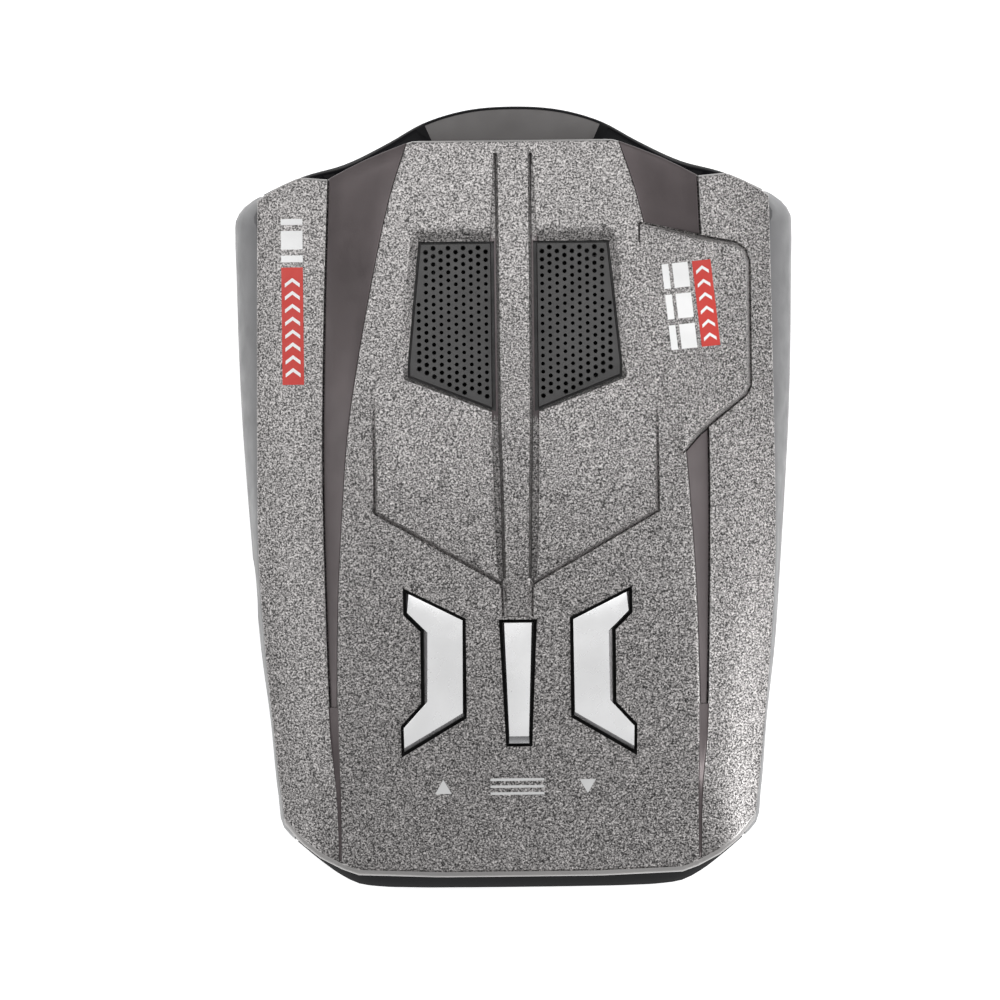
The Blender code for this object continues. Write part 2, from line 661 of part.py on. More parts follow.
def make_grilles():
    for name, flip in (("left", mirrored), ("right", list)):
        floor = flip(GRILLE_FLOOR)
        panel = inset(floor, GAP)
        flange = inset(floor, -0.9)
        mesh = bmesh.new()
        add_tower(mesh, [(flange, raised(-2.5)), (flange, raised(-1.95)), (panel, raised(-1.95)),
                         (panel, raised(-1.1))])
        grille = part("grille_" + name, mesh, GRILLE_GREY)
        mesh = bmesh.new()
        for row in range(30):
            y = 11.0 + row * HOLE_PITCH_Y
            shift = HOLE_PITCH_X / 2 * (row % 2)
            for column in range(-9, 9):
                x = column * HOLE_PITCH_X + shift
                if inside(panel, x, y, HOLE_RADIUS + 0.35):
                    add_peg(mesh, x, y, HOLE_RADIUS, 22.0, 30.5, 4)
        cut(grille, "holes_" + name, mesh)


def make_inlays():
    for name, (side, rear, front) in INLAYS.items():
        mesh = bmesh.new()
        columns = facet_columns(side, POCKET_MARGIN + GAP)
        add_slab(mesh, columns, rear, front, raised(-0.05), raised(-INLAY_DEPTH), 14)
        part("inlay_" + name, mesh, INLAY_DARK, smooth_angle=20)


def make_buttons():
    for name, outline in button_outlines().items():
        x, y = SWITCH_AT[name.removeprefix("button_")]
        flange = inset(outline, -0.8)
        body = inset(outline, 0.4)
        top = inset(outline, 0.8)
        mesh = bmesh.new()
        add_tower(mesh, [(flange, lowered_underside(1.15)), (flange, lowered_underside(0.35)),
                         (body, lowered_underside(0.35)), (body, raised(0.1)), (top, raised(0.75))])
        button = part(name, mesh, CHROME, origin=(x, y, PLUNGER_TOP_Z))
        mesh = bmesh.new()
        add_peg(mesh, x, y, 1.2, PLUNGER_TOP_Z + 0.1, 23.3, 12)
        join(button, "stem_" + name, mesh)


# ---------------------------------------------------------------- boards and their components

def make_boards():
    mesh = bmesh.new()
    add_box(mesh, (-22.5, -42.0, BOARD_TOP_Z - BOARD_THICKNESS), (22.5, 7.5, BOARD_TOP_Z))
    board = part("main_board", mesh, BOARD_GREEN)
    mesh = bmesh.new()
    for x, y in BOARD_SCREWS.values():
        add_peg(mesh, x, y, 1.15, 15.0, 20.0, 12)
    cut(board, "board_holes", mesh)

    mesh = bmesh.new()
    add_box(mesh, (-20, -44.0, 4.0), (20, -42.8, 16.2))
    part("display_board", mesh, BOARD_GREEN)
    mesh = bmesh.new()
    add_box(mesh, (-12, -13, 7.9), (12, 13.5, 8.9))
    part("rf_board", mesh, BOARD_GREEN)


def component(name, centre, size, material, floor=BOARD_TOP_Z, bevel=0.2):
    """A block of the given size standing just above a floor height."""
    half_x, half_y = size[0] / 2, size[1] / 2
    low = (centre[0] - half_x, centre[1] - half_y, floor + GAP / 2)
    mesh = bmesh.new()
    add_box(mesh, low, (centre[0] + half_x, centre[1] + half_y, low[2] + size[2]))
    return part(name, mesh, material, bevel=bevel)


def make_components():
    component("processor_chip", (0, -6), (10, 10, 1.4), BLACK_PLASTIC)
    component("voice_chip", (-13, -5), (5, 8, 1.5), BLACK_PLASTIC)
    component("voltage_regulator", (18.5, -14), (6, 6.5, 2.2), BLACK_PLASTIC)
    component("crystal", (-2.0, 2.5), (4, 2.5, 1.0), TINPLATE)
    component("inductor", (18.5, -5), (5.5, 5.5, 3.0), BLACK_PLASTIC, bevel=0.6)
    component("speaker_connector", (-9, 4.2), (5, 3.4, 2.6), WHITE_PLASTIC)
    component("display_header", (0, -40.6), (20, 2.4, 2.3), BLACK_PLASTIC, floor=13.7)
    for name, (x, y) in {"capacitor_1": (12.5, 3.2), "capacitor_2": (12.5, -4.0)}.items():
        low = BOARD_TOP_Z + GAP / 2
        profile = [(0, low + 5.4), (2.2, low + 5.4), (2.5, low + 5.1), (2.5, low + 0.3), (2.2, low), (0, low)]
        turned(name, profile, TINPLATE, (x, y, 0), 16)


def make_switches():
    for name, (x, y) in SWITCH_AT.items():
        switch = component("switch_" + name, (x, y), (6, 6, 3.4), BLACK_PLASTIC)
        mesh = bmesh.new()
        add_peg(mesh, x, y, PLUNGER_RADIUS + GAP, SWITCH_BORE_Z, 25.0, 12)
        cut(switch, "switch_bore_" + name, mesh)
        mesh = bmesh.new()
        add_peg(mesh, x, y, PLUNGER_RADIUS, PLUNGER_Z, PLUNGER_TOP_Z, 12)
        part("plunger_" + name, mesh, WHITE_PLASTIC, origin=(x, y, PLUNGER_TOP_Z))


# ---------------------------------------------------------------- radar and laser receivers

def make_receivers():
    mesh = bmesh.new()
    levels = [(43.5, 15.0, 4.0, 16.2), (30.0, 12.0, 4.6, 15.6), (18.0, 7.5, 5.8, 14.4),
              (14.0, 7.5, 5.8, 14.4)]
    add_loft(mesh, [[(-x, y, z0), (x, y, z0), (x, y, z1), (-x, y, z1)] for y, x, z0, z1 in levels])
    horn = part("horn_antenna", mesh, CAST_METAL)
    mesh = bmesh.new()
    levels = [(44.5, 13.8, 5.0, 15.2), (20.0, 4.5, 8.2, 12.0), (15.6, 4.5, 8.2, 12.0)]
    add_loft(mesh, [[(-x, y, z0), (x, y, z0), (x, y, z1), (-x, y, z1)] for y, x, z0, z1 in levels])
    cut(horn, "horn_throat", mesh)

    mesh = bmesh.new()
    add_box(mesh, (-11, -12, 9.2), (11, 12.5, 14.6))
    shield = part("rf_shield", mesh, TINPLATE)
    mesh = bmesh.new()
    add_box(mesh, (-10.6, -11.6, 8.0), (10.6, 12.1, 14.2))
    cut(shield, "shield_hollow", mesh)

    place = (0, 41.0, 19.9)
    facing_front = (-math.pi / 2, 0, 0)
    profile = [(3.3, 4.6), (3.3, -1.8), (2.0, -3.0), (2.0, -4.0), (1.5, -4.0), (1.5, -2.7), (2.9, -1.5),
               (2.9, 4.6)]
    turned("laser_holder", profile, BLACK_PLASTIC, place, 16, facing_front)
    angles = [math.radians(degrees) for degrees in range(0, 91, 18)]
    dome = [(2.6 * math.sin(angle), 2.0 + 1.3 * math.cos(angle)) for angle in angles]
    turned("laser_lens", dome + [(2.6, 1.2), (0, 1.2)], CLEAR_RED, place, 16, facing_front)
    mesh = bmesh.new()
    add_box(mesh, (-1.2, 35.4, 18.7), (1.2, 36.7, 21.1))
    part("laser_sensor", mesh, BLACK_PLASTIC, bevel=0.2)


def make_display():
    mesh = bmesh.new()
    add_box(mesh, (-17, -49.2, 7.4), (17, -44.3, 15.6))
    part("led_display", mesh, BLACK_PLASTIC, bevel=0.3)


# ---------------------------------------------------------------- speaker

def make_speaker():
    x, y = SPEAKER_AT
    place = (x, y, 0)
    profile = [(14.0, 24.6), (14.0, 23.9), (13.4, 23.9), (8.8, 20.2), (3.6, 20.2), (3.6, 20.8), (8.4, 20.8),
               (12.8, 24.2), (12.8, 24.6)]
    frame = turned("speaker_frame", profile, STEEL, place, 24)
    mesh = bmesh.new()
    for side in (-1, 1):
        low, high = sorted((side * 13.5, side * 19.2))
        add_box(mesh, (low, y - 2.4, 23.95), (high, y + 2.4, 24.55))
    join(frame, "speaker_ears", mesh)
    mesh = bmesh.new()
    for side in (-1, 1):
        add_peg(mesh, side * SPEAKER_EAR_X, y, 1.1, 22.0, 26.0, 12)
    cut(frame, "speaker_ear_holes", mesh)

    turned("speaker_magnet", [(0, 19.9), (6.2, 19.9), (6.5, 19.6), (6.5, 17.4), (0, 17.4)], STEEL, place, 18)
    turned("speaker_gasket", [(13.9, 25.3), (13.9, 24.9), (12.9, 24.9), (12.9, 25.3)], FOAM, place, 20)
    turned("speaker_surround", [(12.4, 24.7), (12.4, 24.3), (12.0, 24.3), (12.0, 24.7)], RUBBER, place, 20)
    cone = [(0, 23.9), (2.2, 23.7), (4.0, 22.9), (11.6, 24.7), (11.6, 24.3), (4.0, 22.4), (2.4, 22.4),
            (0, 22.4)]
    turned("speaker_cone", cone, PAPER_CONE, place, 20)


def make_wires():
    """Two leads from the speaker's rear to the connector on the board."""
    routes = {"red": (1.0, RED_WIRE), "black": (-1.0, BLACK_WIRE)}
    for name, (shift, material) in routes.items():
        route = [(-4.5 + shift, 11.4, 21.3), (-4.7 + shift, 10.0, 21.7), (-5.6 + shift, 8.7, 21.6),
                 (-7.0 + shift, 7.9, 21.0), (-8.2 + shift, 7.3, 20.3), (-8.8 + shift, 6.7, 19.9),
                 (-9.0 + shift, 6.2, 19.8)]
        curve = bpy.data.curves.new("speaker_wire_" + name, "CURVE")
        curve.dimensions = "3D"
        curve.bevel_depth = 0.5 * MM
        curve.bevel_resolution = 2
        curve.use_fill_caps = True
        curve.resolution_u = 1
        curve.render_resolution_u = 0
        spline = curve.splines.new("POLY")
        spline.points.add(len(route) - 1)
        for point, place in zip(spline.points, route):
            point.co = (*(Vector(place) * MM), 1.0)
        curve.materials.append(material)
        wire = bpy.data.objects.new("speaker_wire_" + name, curve)
        PARTS.objects.link(wire)
        wire.parent = ROOT


# ---------------------------------------------------------------- socket, fasteners, feet, label

def make_socket():
    mesh = bmesh.new()
    board_gap = 0.6
    top = BOARD_TOP_Z - BOARD_THICKNESS - board_gap
    add_box(mesh, (-32.3, SOCKET_Y - 4.5, SOCKET_Z - 4.2), (-20.5, SOCKET_Y + 4.5, top))
    socket = part("dc_socket", mesh, BLACK_PLASTIC, bevel=0.3)
    mesh = bmesh.new()
    bore = circle(SOCKET_Y, SOCKET_Z, 3.0, 20)
    add_loft(mesh, [[(x, y, z) for y, z in bore] for x in (-36.0, -24.0)])
    cut(socket, "socket_bore", mesh)
    profile = [(0, 9.0), (0.7, 9.0), (1.0, 8.6), (1.0, 0), (0, 0)]
    turned("dc_socket_pin", profile, BRASS, (-24.3, SOCKET_Y, SOCKET_Z), 12, (0, -math.pi / 2, 0))


def make_fasteners():
    for name, (x, y) in CASE_SCREWS.items():
        profile = [(0, 17.0), (0.95, 16.4), (0.95, 3.7), (2.2, 3.7), (2.2, 2.4), (1.7, 1.8), (0, 1.6)]
        turned("case_screw_" + name, profile, STEEL, (x, y, 0), 12)
    head = BOARD_TOP_Z + GAP / 2
    for name, (x, y) in BOARD_SCREWS.items():
        profile = [(0, head + 1.2), (1.3, head + 1.0), (1.8, head + 0.4), (1.8, head), (0.8, head),
                   (0.8, 11.4), (0, 11.0)]
        turned("board_screw_" + name, profile, STEEL, (x, y, 0), 10)
    for name, side in {"left": -1, "right": 1}.items():
        profile = [(0, 26.4), (0.65, 26.0), (0.65, 23.65), (1.6, 23.65), (1.6, 23.0), (1.1, 22.5), (0, 22.4)]
        turned("speaker_screw_" + name, profile, STEEL, (side * SPEAKER_EAR_X, SPEAKER_AT[1], 0), 10)


def make_feet_and_label():
    for name, (x, y) in FEET.items():
        profile = [(0, 1.3), (4.0, 1.3), (4.0, 0.5), (3.6, 0), (0, 0)]
        turned("rubber_foot_" + name, profile, RUBBER, (x, y, 0), 16)
    mesh = bmesh.new()
    add_box(mesh, (-17.5, -16.5, BASE_Z + 0.05), (17.5, 4.5, 1.2))
    part("rating_label", mesh, PAPER)


make_top_shell()
make_bottom_shell()
make_windows()
make_grilles()
make_inlays()
make_buttons()
make_boards()
make_components()
make_switches()
make_receivers()
make_display()
make_speaker()
make_wires()
make_socket()
make_fasteners()
make_feet_and_label()
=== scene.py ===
"""The looks of a compact dashboard radar detector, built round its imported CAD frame.

Work is in millimetres and every mesh is scaled to metres as it is made. +Y is the front, where the
lens looks down the road, +X is the side with the raised pod, and the feet stand on z = 0.
"""
import json
import math

import bmesh
import bpy
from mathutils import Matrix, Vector


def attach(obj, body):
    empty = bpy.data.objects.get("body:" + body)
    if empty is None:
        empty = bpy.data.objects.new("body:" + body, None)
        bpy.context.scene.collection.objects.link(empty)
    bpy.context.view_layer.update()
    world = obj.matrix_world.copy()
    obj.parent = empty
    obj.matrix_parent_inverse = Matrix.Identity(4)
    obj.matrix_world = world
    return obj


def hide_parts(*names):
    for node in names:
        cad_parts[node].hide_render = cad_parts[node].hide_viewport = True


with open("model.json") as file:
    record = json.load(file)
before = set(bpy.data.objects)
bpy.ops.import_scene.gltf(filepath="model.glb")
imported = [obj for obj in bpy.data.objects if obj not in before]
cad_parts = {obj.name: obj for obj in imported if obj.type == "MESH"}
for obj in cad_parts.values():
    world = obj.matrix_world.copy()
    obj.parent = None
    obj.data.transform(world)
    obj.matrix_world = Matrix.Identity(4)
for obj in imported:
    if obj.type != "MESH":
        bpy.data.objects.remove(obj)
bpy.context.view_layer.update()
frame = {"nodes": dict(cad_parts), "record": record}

MM = 0.001
GAP = 0.3
SHELL = 1.6
WALL = 1.8
BASE_Z = 0.9
FLOOR_Z = 2.7
WIDEST_Z = 9.0
LENS_SILL_Z = 6.0
WINDOW_SILL_Z = 7.0
LENS_CUT_Y = 40.6
WINDOW_CUT_X = 30.2
LENS_TUCK = 1.2
WINDOW_TUCK = 1.3

# Plan and height lines of the right half. Those that run front to back are (y, value) pairs.
CROWN = 1.1
CROWN_X = 24.0
BONNET_Z = [(-50.6, 20.4), (-40, 22.6), (-30, 24.6), (-20, 26.3), (-10, 27.6), (0, 28.5), (10, 29.0),
            (20, 29.1), (30, 28.7), (40, 27.8), (47.5, 26.6)]
WING_Z = [(-50, 19.35), (-40, 21.35), (-30, 22.1), (-20, 22.6), (0, 23.0), (20, 22.9), (34, 22.3),
          (43, 21.6)]
CREASE_Z = [(-44, 18.4), (-30, 18.9), (-10, 19.6), (10, 19.9), (25, 19.6), (40, 18.6)]
FACET_INNER_X = [(-50, 23.9), (-40, 23.9), (-30, 24.1), (-13.6, 23.8), (-1.6, 23.1), (9.1, 22.2),
                 (20.4, 20.4), (31.8, 18.2), (40.4, 16.2), (47.5, 13.9)]
FACET_OUTER_X = [(-50, 24.25), (-40, 24.5), (-31, 25.3), (-13.6, 25.8), (5, 26.0), (23.8, 25.6), (43, 24.9)]
CREASE_X = [(-43.6, 31.5), (-34.5, 32.5), (-21, 33.8), (-8, 34.6), (4, 34.65), (20, 34.5), (39.9, 34.25)]
SIDE_X = [(-45, 31.4), (-42, 32.2), (-31.5, 33.2), (-19.9, 34.6), (-3.9, 35.8), (7.5, 36.6), (20, 37.1),
          (36.8, 37.4)]
FRONT_EDGE = [(0, 47.5), (13.2, 47.5), (15, 47.0), (17.4, 46.05), (20, 45), (22.7, 43.7), (24.8, 42.6),
              (28.5, 42.95), (31, 41.9), (33.4, 40.6), (34.3, 39.9)]
REAR_EDGE = [(0, -50.9), (10.6, -50.9), (21.7, -50.5), (23.9, -49.7), (26.75, -48.2), (29.4, -46.1),
             (31.5, -43.6)]
# Stations of the front and rear walls are (x, y, lean), the lean being how far the wall's top leans in.
FRONT_ARC = [(0, 52.45, 0.5), (6.7, 51.9, 0.5), (12, 50.3, 0.5), (16.7, 47.7, 0.5), (22.7, 44.85, 0.6),
             (28.1, 43.35, 0.5), (33.4, 41.0, 0.9), (36.1, 39.3, 1.9), (37.33, 37.4, 2.8),
             (37.4, 35.7, 2.9)]
REAR_ARC = [(29.9, -46.15, 0.6), (26.75, -48.8, 0.7), (24.2, -50.65, 1.1), (21.7, -51.9, 1.7),
            (19, -52.3, 1.95), (14.5, -52.5, 2.03), (8, -52.58, 2.05), (0, -52.6, 2.05)]

SPINE_HALF = [(-16.1, 1.75), (-9, 1.95), (0, 2.1), (11, 2.35), (26, 2.4), (46.6, 2.45)]
SPINE_RISE = [(-16.1, 0.45), (-11, 0.9), (0, 1.1), (15, 0.9), (30, 0.9), (46.6, 0.15)]
SPINE_REAR_Y = -16.1
SPINE_FRONT_Y = 46.6
CHANNEL_HALF = [(-11.2, 2.5), (-8.5, 2.75), (0, 3.0), (10, 3.15), (34, 3.15), (45.5, 2.6)]
CHANNEL_REAR_Y = -11.0
CHANNEL_FRONT_Y = 45.8
CHANNEL_DEPTH = 1.1
PANEL_HALF = 18.8
PANEL_RISE = 0.75
PANEL_DRAFT = 0.35
PANEL_FRONT_Y = 15.5
PANEL_POINT = (2.6, -11.3)
PANEL_SLOPE = 0.57

POD_FRONT = [(16.9, 36.1), (24.9, 34.4), (29.6, 33.5), (30.8, 32.7), (31.4, 31.0)]
POD_REAR = [(16.9, 34.1), (17.4, 31.8), (19.6, 20.4), (21.4, 9.1), (22.2, 5.6), (24.6, 8.3), (30.8, 13.3),
            (31.4, 14.4)]
POD_EDGE_X = 31.4
POD_EDGE_Z = 23.4
POD_DRAFT = 0.5
GROOVE_HALF = 0.15
GROOVE_DEPTH = 0.35
EDGE_ROLL = 0.3
EDGE_DROP = 0.25
REAR_ROLL = 0.7
REAR_DROP = 0.5
INLAY_REAR_Y = -28.0
STRIP_REAR_Y = -48.6
STRIP_DEPTH = 0.14
STRIP_REACH_X = (23.6, 25.7)
# Reach along y of the channels beside the spine that get painted shade of their groove walls.
CHANNEL_SHADE_Y = (10.5, 34.5)

GRILLE_OPENING = [(2.6, 11.3), (14.3, 15.9), (14.3, 17.8), (12.7, 34.0), (2.6, 34.0)]
GRILLE_LIP = [(2.6, 11.0), (14.7, 15.6), (15.6, 17.2), (13.6, 35.4), (2.6, 35.4)]
GRILLE_PLATE = [(3.05, 11.75), (14.05, 16.1), (14.05, 17.8), (12.45, 33.75), (3.05, 33.75)]
LIP_DEPTH = 0.9
HOLE_START = (3.75, 11.2)
HOLE_COLUMNS = 12
HOLE_ROWS = 24
HOLE_SIDES = 8
HOLE_BORDER = 0.5
HOLE_PITCH_X = 1.0
HOLE_PITCH_Y = 1.07
HOLE_RADIUS = 0.27
HOLE_RIM = 0.42

SIDE_BUTTON = [(15.3, -12.1), (6.95, -16.25), (6.95, -29.6), (15.75, -34.8), (15.8, -30.55),
               (13.05, -27.6), (13.05, -17.95), (15.3, -15.7)]
SIDE_BUTTON_TOP = [(14.5, -12.95), (7.4, -16.5), (7.5, -28.85), (15.35, -33.45), (15.4, -30.85),
                   (12.15, -27.3), (12.05, -18.1), (14.75, -15.4)]
MENU_BUTTON = [(-2.55, -16.45), (-1.75, -33.45), (1.75, -33.45), (2.55, -16.45)]
MENU_BUTTON_TOP = [(-1.8, -16.9), (-1.3, -32.0), (1.3, -32.0), (1.8, -16.9)]
BUTTON_RISE = 0.75

CASE_SCREWS = {"front_left": (-29.0, 31.0), "front_right": (29.0, 31.0),
               "rear_left": (-26.5, -38.0), "rear_right": (26.5, -38.0)}
FEET = {"front_left": (-20.0, 36.0), "front_right": (20.0, 36.0),
        "rear_left": (-18.0, -43.0), "rear_right": (18.0, -43.0)}
SOCKET_Y = -12.0
SOCKET_Z = 9.0
SOCKET_BORE = 3.6
SOCKET_MOUTH = 3.9
RECESS_REACH = 1.2
RECESS_HALF = 0.25
RECESS_FROM_Z = 1.0
RECESS_TOP_Z = 2.7
FILM_STEP = 0.6
FILM_LIFT = 0.04
ARROW_LIFT = 0.08
FILM_SINK = 0.1


# ---------------------------------------------------------------- lines and surfaces

def straight(points, at):
    """Value at a place on the straight-sided line through (place, value) points."""
    if at <= points[0][0]:
        return points[0][1]
    for (at0, value0), (at1, value1) in zip(points, points[1:]):
        if at <= at1:
            return value0 + (value1 - value0) * (at - at0) / (at1 - at0)
    return points[-1][1]


def smooth(points, at):
    """The same on a smooth curve through the points."""
    at = min(max(at, points[0][0]), points[-1][0])
    index = next(i for i in range(1, len(points)) if at <= points[i][0])
    (at0, value0), (at1, value1) = points[index - 1], points[index]

    def slope(i):
        low = points[max(i - 1, 0)]
        high = points[min(i + 1, len(points) - 1)]
        return (high[1] - low[1]) / (high[0] - low[0])

    span = at1 - at0
    u = (at - at0) / span
    value = (2 * u**3 - 3 * u**2 + 1) * value0 + (3 * u**2 - 2 * u**3) * value1
    return value + span * ((u**3 - 2 * u**2 + u) * slope(index - 1) + (u**3 - u**2) * slope(index))


def mix(a, b, share):
    return a + (b - a) * share


def eased(share):
    """0 to 1 with a soft start and a soft end."""
    share = min(max(share, 0.0), 1.0)
    return share * share * (3 - 2 * share)


def rounded_step(distance, width):
    """0 at a wall's foot to 1 on top of it, with a crisp foot and a rounded top edge."""
    share = min(max(distance / width, 0.0), 1.0)
    return math.sin(share * math.pi / 2) ** 0.8 if share > 0 else 0.0


def rolled(distance, radius):
    """How far a rounded edge has turned down: 1 at the edge, 0 from the radius inwards."""
    return 1 - math.sqrt(max(1 - (1 - min(distance / radius, 1.0)) ** 2, 0.0))


def bonnet_z(x, y):
    return smooth(BONNET_Z, y) - CROWN * (x / CROWN_X) ** 2


def surface_z(x, y):
    """Height of the cover's plain outer face: bonnet, facets and wings."""
    x = abs(x)
    inner = smooth(FACET_INNER_X, y)
    outer = smooth(FACET_OUTER_X, y)
    crease = smooth(CREASE_X, y)
    if x <= inner:
        return bonnet_z(x, y)
    if x <= outer:
        return mix(bonnet_z(inner, y), smooth(WING_Z, y), (x - inner) / (outer - inner))
    share = min((x - outer) / (crease - outer), 1.0)
    bulge = 0.5 * math.sin(math.pi * share)
    return mix(smooth(WING_Z, y), smooth(CREASE_Z, y), share) + bulge


def soft_surface_z(x, y):
    """The same with its long edges slightly rounded."""
    reach = 0.22
    sides = surface_z(abs(x) - reach, y) + surface_z(abs(x) + reach, y)
    return 0.5 * surface_z(x, y) + 0.25 * sides


def underside_z(x, y):
    return surface_z(abs(x) + 1.2, y) - SHELL


def front_edge_y(x):
    return straight(FRONT_EDGE, abs(x))


def rear_edge_y(x):
    return straight(REAR_EDGE, abs(x))


def line_distance(points, x, y):
    """Distance from a place to an open line of points."""
    place = Vector((x, y))
    best = 1e9
    for start, end in zip(points, points[1:]):
        start, end = Vector(start), Vector(end)
        side = end - start
        share = min(max((place - start).dot(side) / side.length_squared, 0.0), 1.0)
        best = min(best, (place - start - side * share).length)
    return best


def contains(outline, x, y):
    """True for a place inside an outline of any shape."""
    found = False
    for (x0, y0), (x1, y1) in zip(outline, outline[1:] + outline[:1]):
        if (y0 > y) != (y1 > y) and x < x0 + (x1 - x0) * (y - y0) / (y1 - y0):
            found = not found
    return found


def depth_inside(outline, x, y):
    """Distance to the outline, positive inside it and negative outside."""
    distance = line_distance(outline + outline[:1], x, y)
    return distance if contains(outline, x, y) else -distance


def inset(outline, distance):
    """The outline moved inwards, with sharp corners. Outlines run anticlockwise."""
    moved = []
    for index, point in enumerate(outline):
        before = Vector(outline[index - 1])
        here = Vector(point)
        after = Vector(outline[(index + 1) % len(outline)])
        side_in = (here - before).normalized()
        side_out = (after - here).normalized()
        normal_in = Vector((side_in.y, -side_in.x))
        normal_out = Vector((side_out.y, -side_out.x))
        corner = (normal_in + normal_out) / (1.0 + normal_in.dot(normal_out))
        moved.append(tuple(here - corner * distance))
    return moved


def mirrored(outline):
    return [(-x, y) for x, y in reversed(outline)]


def circle(x, y, radius, segments):
    step = 2 * math.pi / segments
    return [(x + radius * math.cos(i * step), y + radius * math.sin(i * step)) for i in range(segments)]


def flowing(points, spacing, closed=False):
    """A smooth curve through (x, y, ...) points, with new points about a spacing apart."""
    points = [Vector(point) for point in points]
    count = len(points)

    def chord(i):
        return max((points[(i + 1) % count] - points[i % count]).length, 1e-6)

    def heading(i):
        """Change per millimetre at a point, which favours its nearer neighbour."""
        if not closed and i in (0, count - 1):
            start = min(i, count - 2)
            return (points[start + 1] - points[start]) / chord(start)
        before, after = chord(i - 1), chord(i)
        step_in = (points[i % count] - points[i - 1]) / before
        step_out = (points[(i + 1) % count] - points[i % count]) / after
        return (step_in * after + step_out * before) / (before + after)

    made = []
    for i in range(count if closed else count - 1):
        span = chord(i)
        start, end = points[i], points[(i + 1) % count]
        lead, trail = heading(i) * span, heading((i + 1) % count if closed else i + 1) * span
        steps = max(2, round(span / spacing))
        for step in range(steps):
            u = step / steps
            made.append(start * (2 * u**3 - 3 * u**2 + 1) + end * (3 * u**2 - 2 * u**3)
                        + lead * (u**3 - 2 * u**2 + u) + trail * (u**3 - u**2))
    return made if closed else made + [points[-1]]


# ---------------------------------------------------------------- the cover's height

POD = POD_FRONT[::-1] + POD_REAR
POCKETS = {
    "inlay_left": (-1, lambda x: INLAY_REAR_Y, front_edge_y),
    "inlay_right_front": (1, lambda x: straight(POD_FRONT, abs(x)) + 0.3, front_edge_y),
    "inlay_right_rear": (1, lambda x: INLAY_REAR_Y, lambda x: straight(POD_REAR, abs(x)) - 0.3),
}
POCKET_DEPTH = 1.0


def facet_margin(y):
    """Step between the lines that bound a facet's pocket, less where the facet narrows."""
    return min(0.1, 0.15 * (smooth(FACET_OUTER_X, y) - smooth(FACET_INNER_X, y)))


def pod_top(x, y):
    inner = smooth(FACET_INNER_X, y)
    if x <= inner:
        return bonnet_z(x, y)
    return mix(bonnet_z(inner, y), POD_EDGE_Z, (x - inner) / (POD_EDGE_X - inner))


def panel_depth(x, y):
    """How far a place lies inside the hexagonal panel."""
    rear = PANEL_POINT[1] + PANEL_SLOPE * (abs(x) - PANEL_POINT[0])
    return min(PANEL_HALF - abs(x), (y - rear) / math.hypot(1, PANEL_SLOPE), PANEL_FRONT_Y - y)


def pocket_drop(x, y):
    margin = facet_margin(y)
    across = min(abs(x) - smooth(FACET_INNER_X, y), smooth(FACET_OUTER_X, y) - abs(x)) - margin
    for side, rear, front in POCKETS.values():
        if x * side > 0:
            along = y - rear(x)
            if front is not front_edge_y:
                along = min(along, front(x) - y)
            inside = min(across, along)
            if inside > 1e-4:
                return POCKET_DEPTH * min(inside / max(margin, 0.01), 1.0)
    return 0.0


def lip_drop(x, y):
    """The grille's sloping surround."""
    x = abs(x)
    into_lip = depth_inside(GRILLE_LIP, x, y)
    if into_lip <= 0 or x < 2.6:
        return 0.0
    to_opening = max(-depth_inside(GRILLE_OPENING, x, y), 0.0)
    return LIP_DEPTH * into_lip / (into_lip + to_opening)


def foot_groove(distance, fade):
    """A narrow V along the foot of a wall, where the distance inside the wall is just negative."""
    return GROOVE_DEPTH * fade * max(1 - abs(distance / GROOVE_HALF + 1), 0.0)


def rim_drop(x, y):
    """The edge turns down: a small radius at the sides and front, a wider roll and a groove at the rear."""
    side = smooth(CREASE_X, y) - abs(x)
    front = line_distance(FRONT_EDGE, abs(x), y)
    rear = line_distance(REAR_EDGE, abs(x), y)
    drop = max(EDGE_DROP * rolled(min(side, front), EDGE_ROLL), REAR_DROP * rolled(rear, REAR_ROLL))
    return drop + 0.2 * max(1 - abs(rear / REAR_ROLL - 1.15) / 0.15, 0.0)


def strip_drop(x, y):
    """Behind its inlay each facet goes on as a narrow sunken strip."""
    within = min(abs(x) - smooth(FACET_INNER_X, y), smooth(FACET_OUTER_X, y) - abs(x))
    if within > 1e-4 and STRIP_REAR_Y < y < INLAY_REAR_Y:
        return STRIP_DEPTH * min(within / max(facet_margin(y), 0.01), 1.0)
    return 0.0


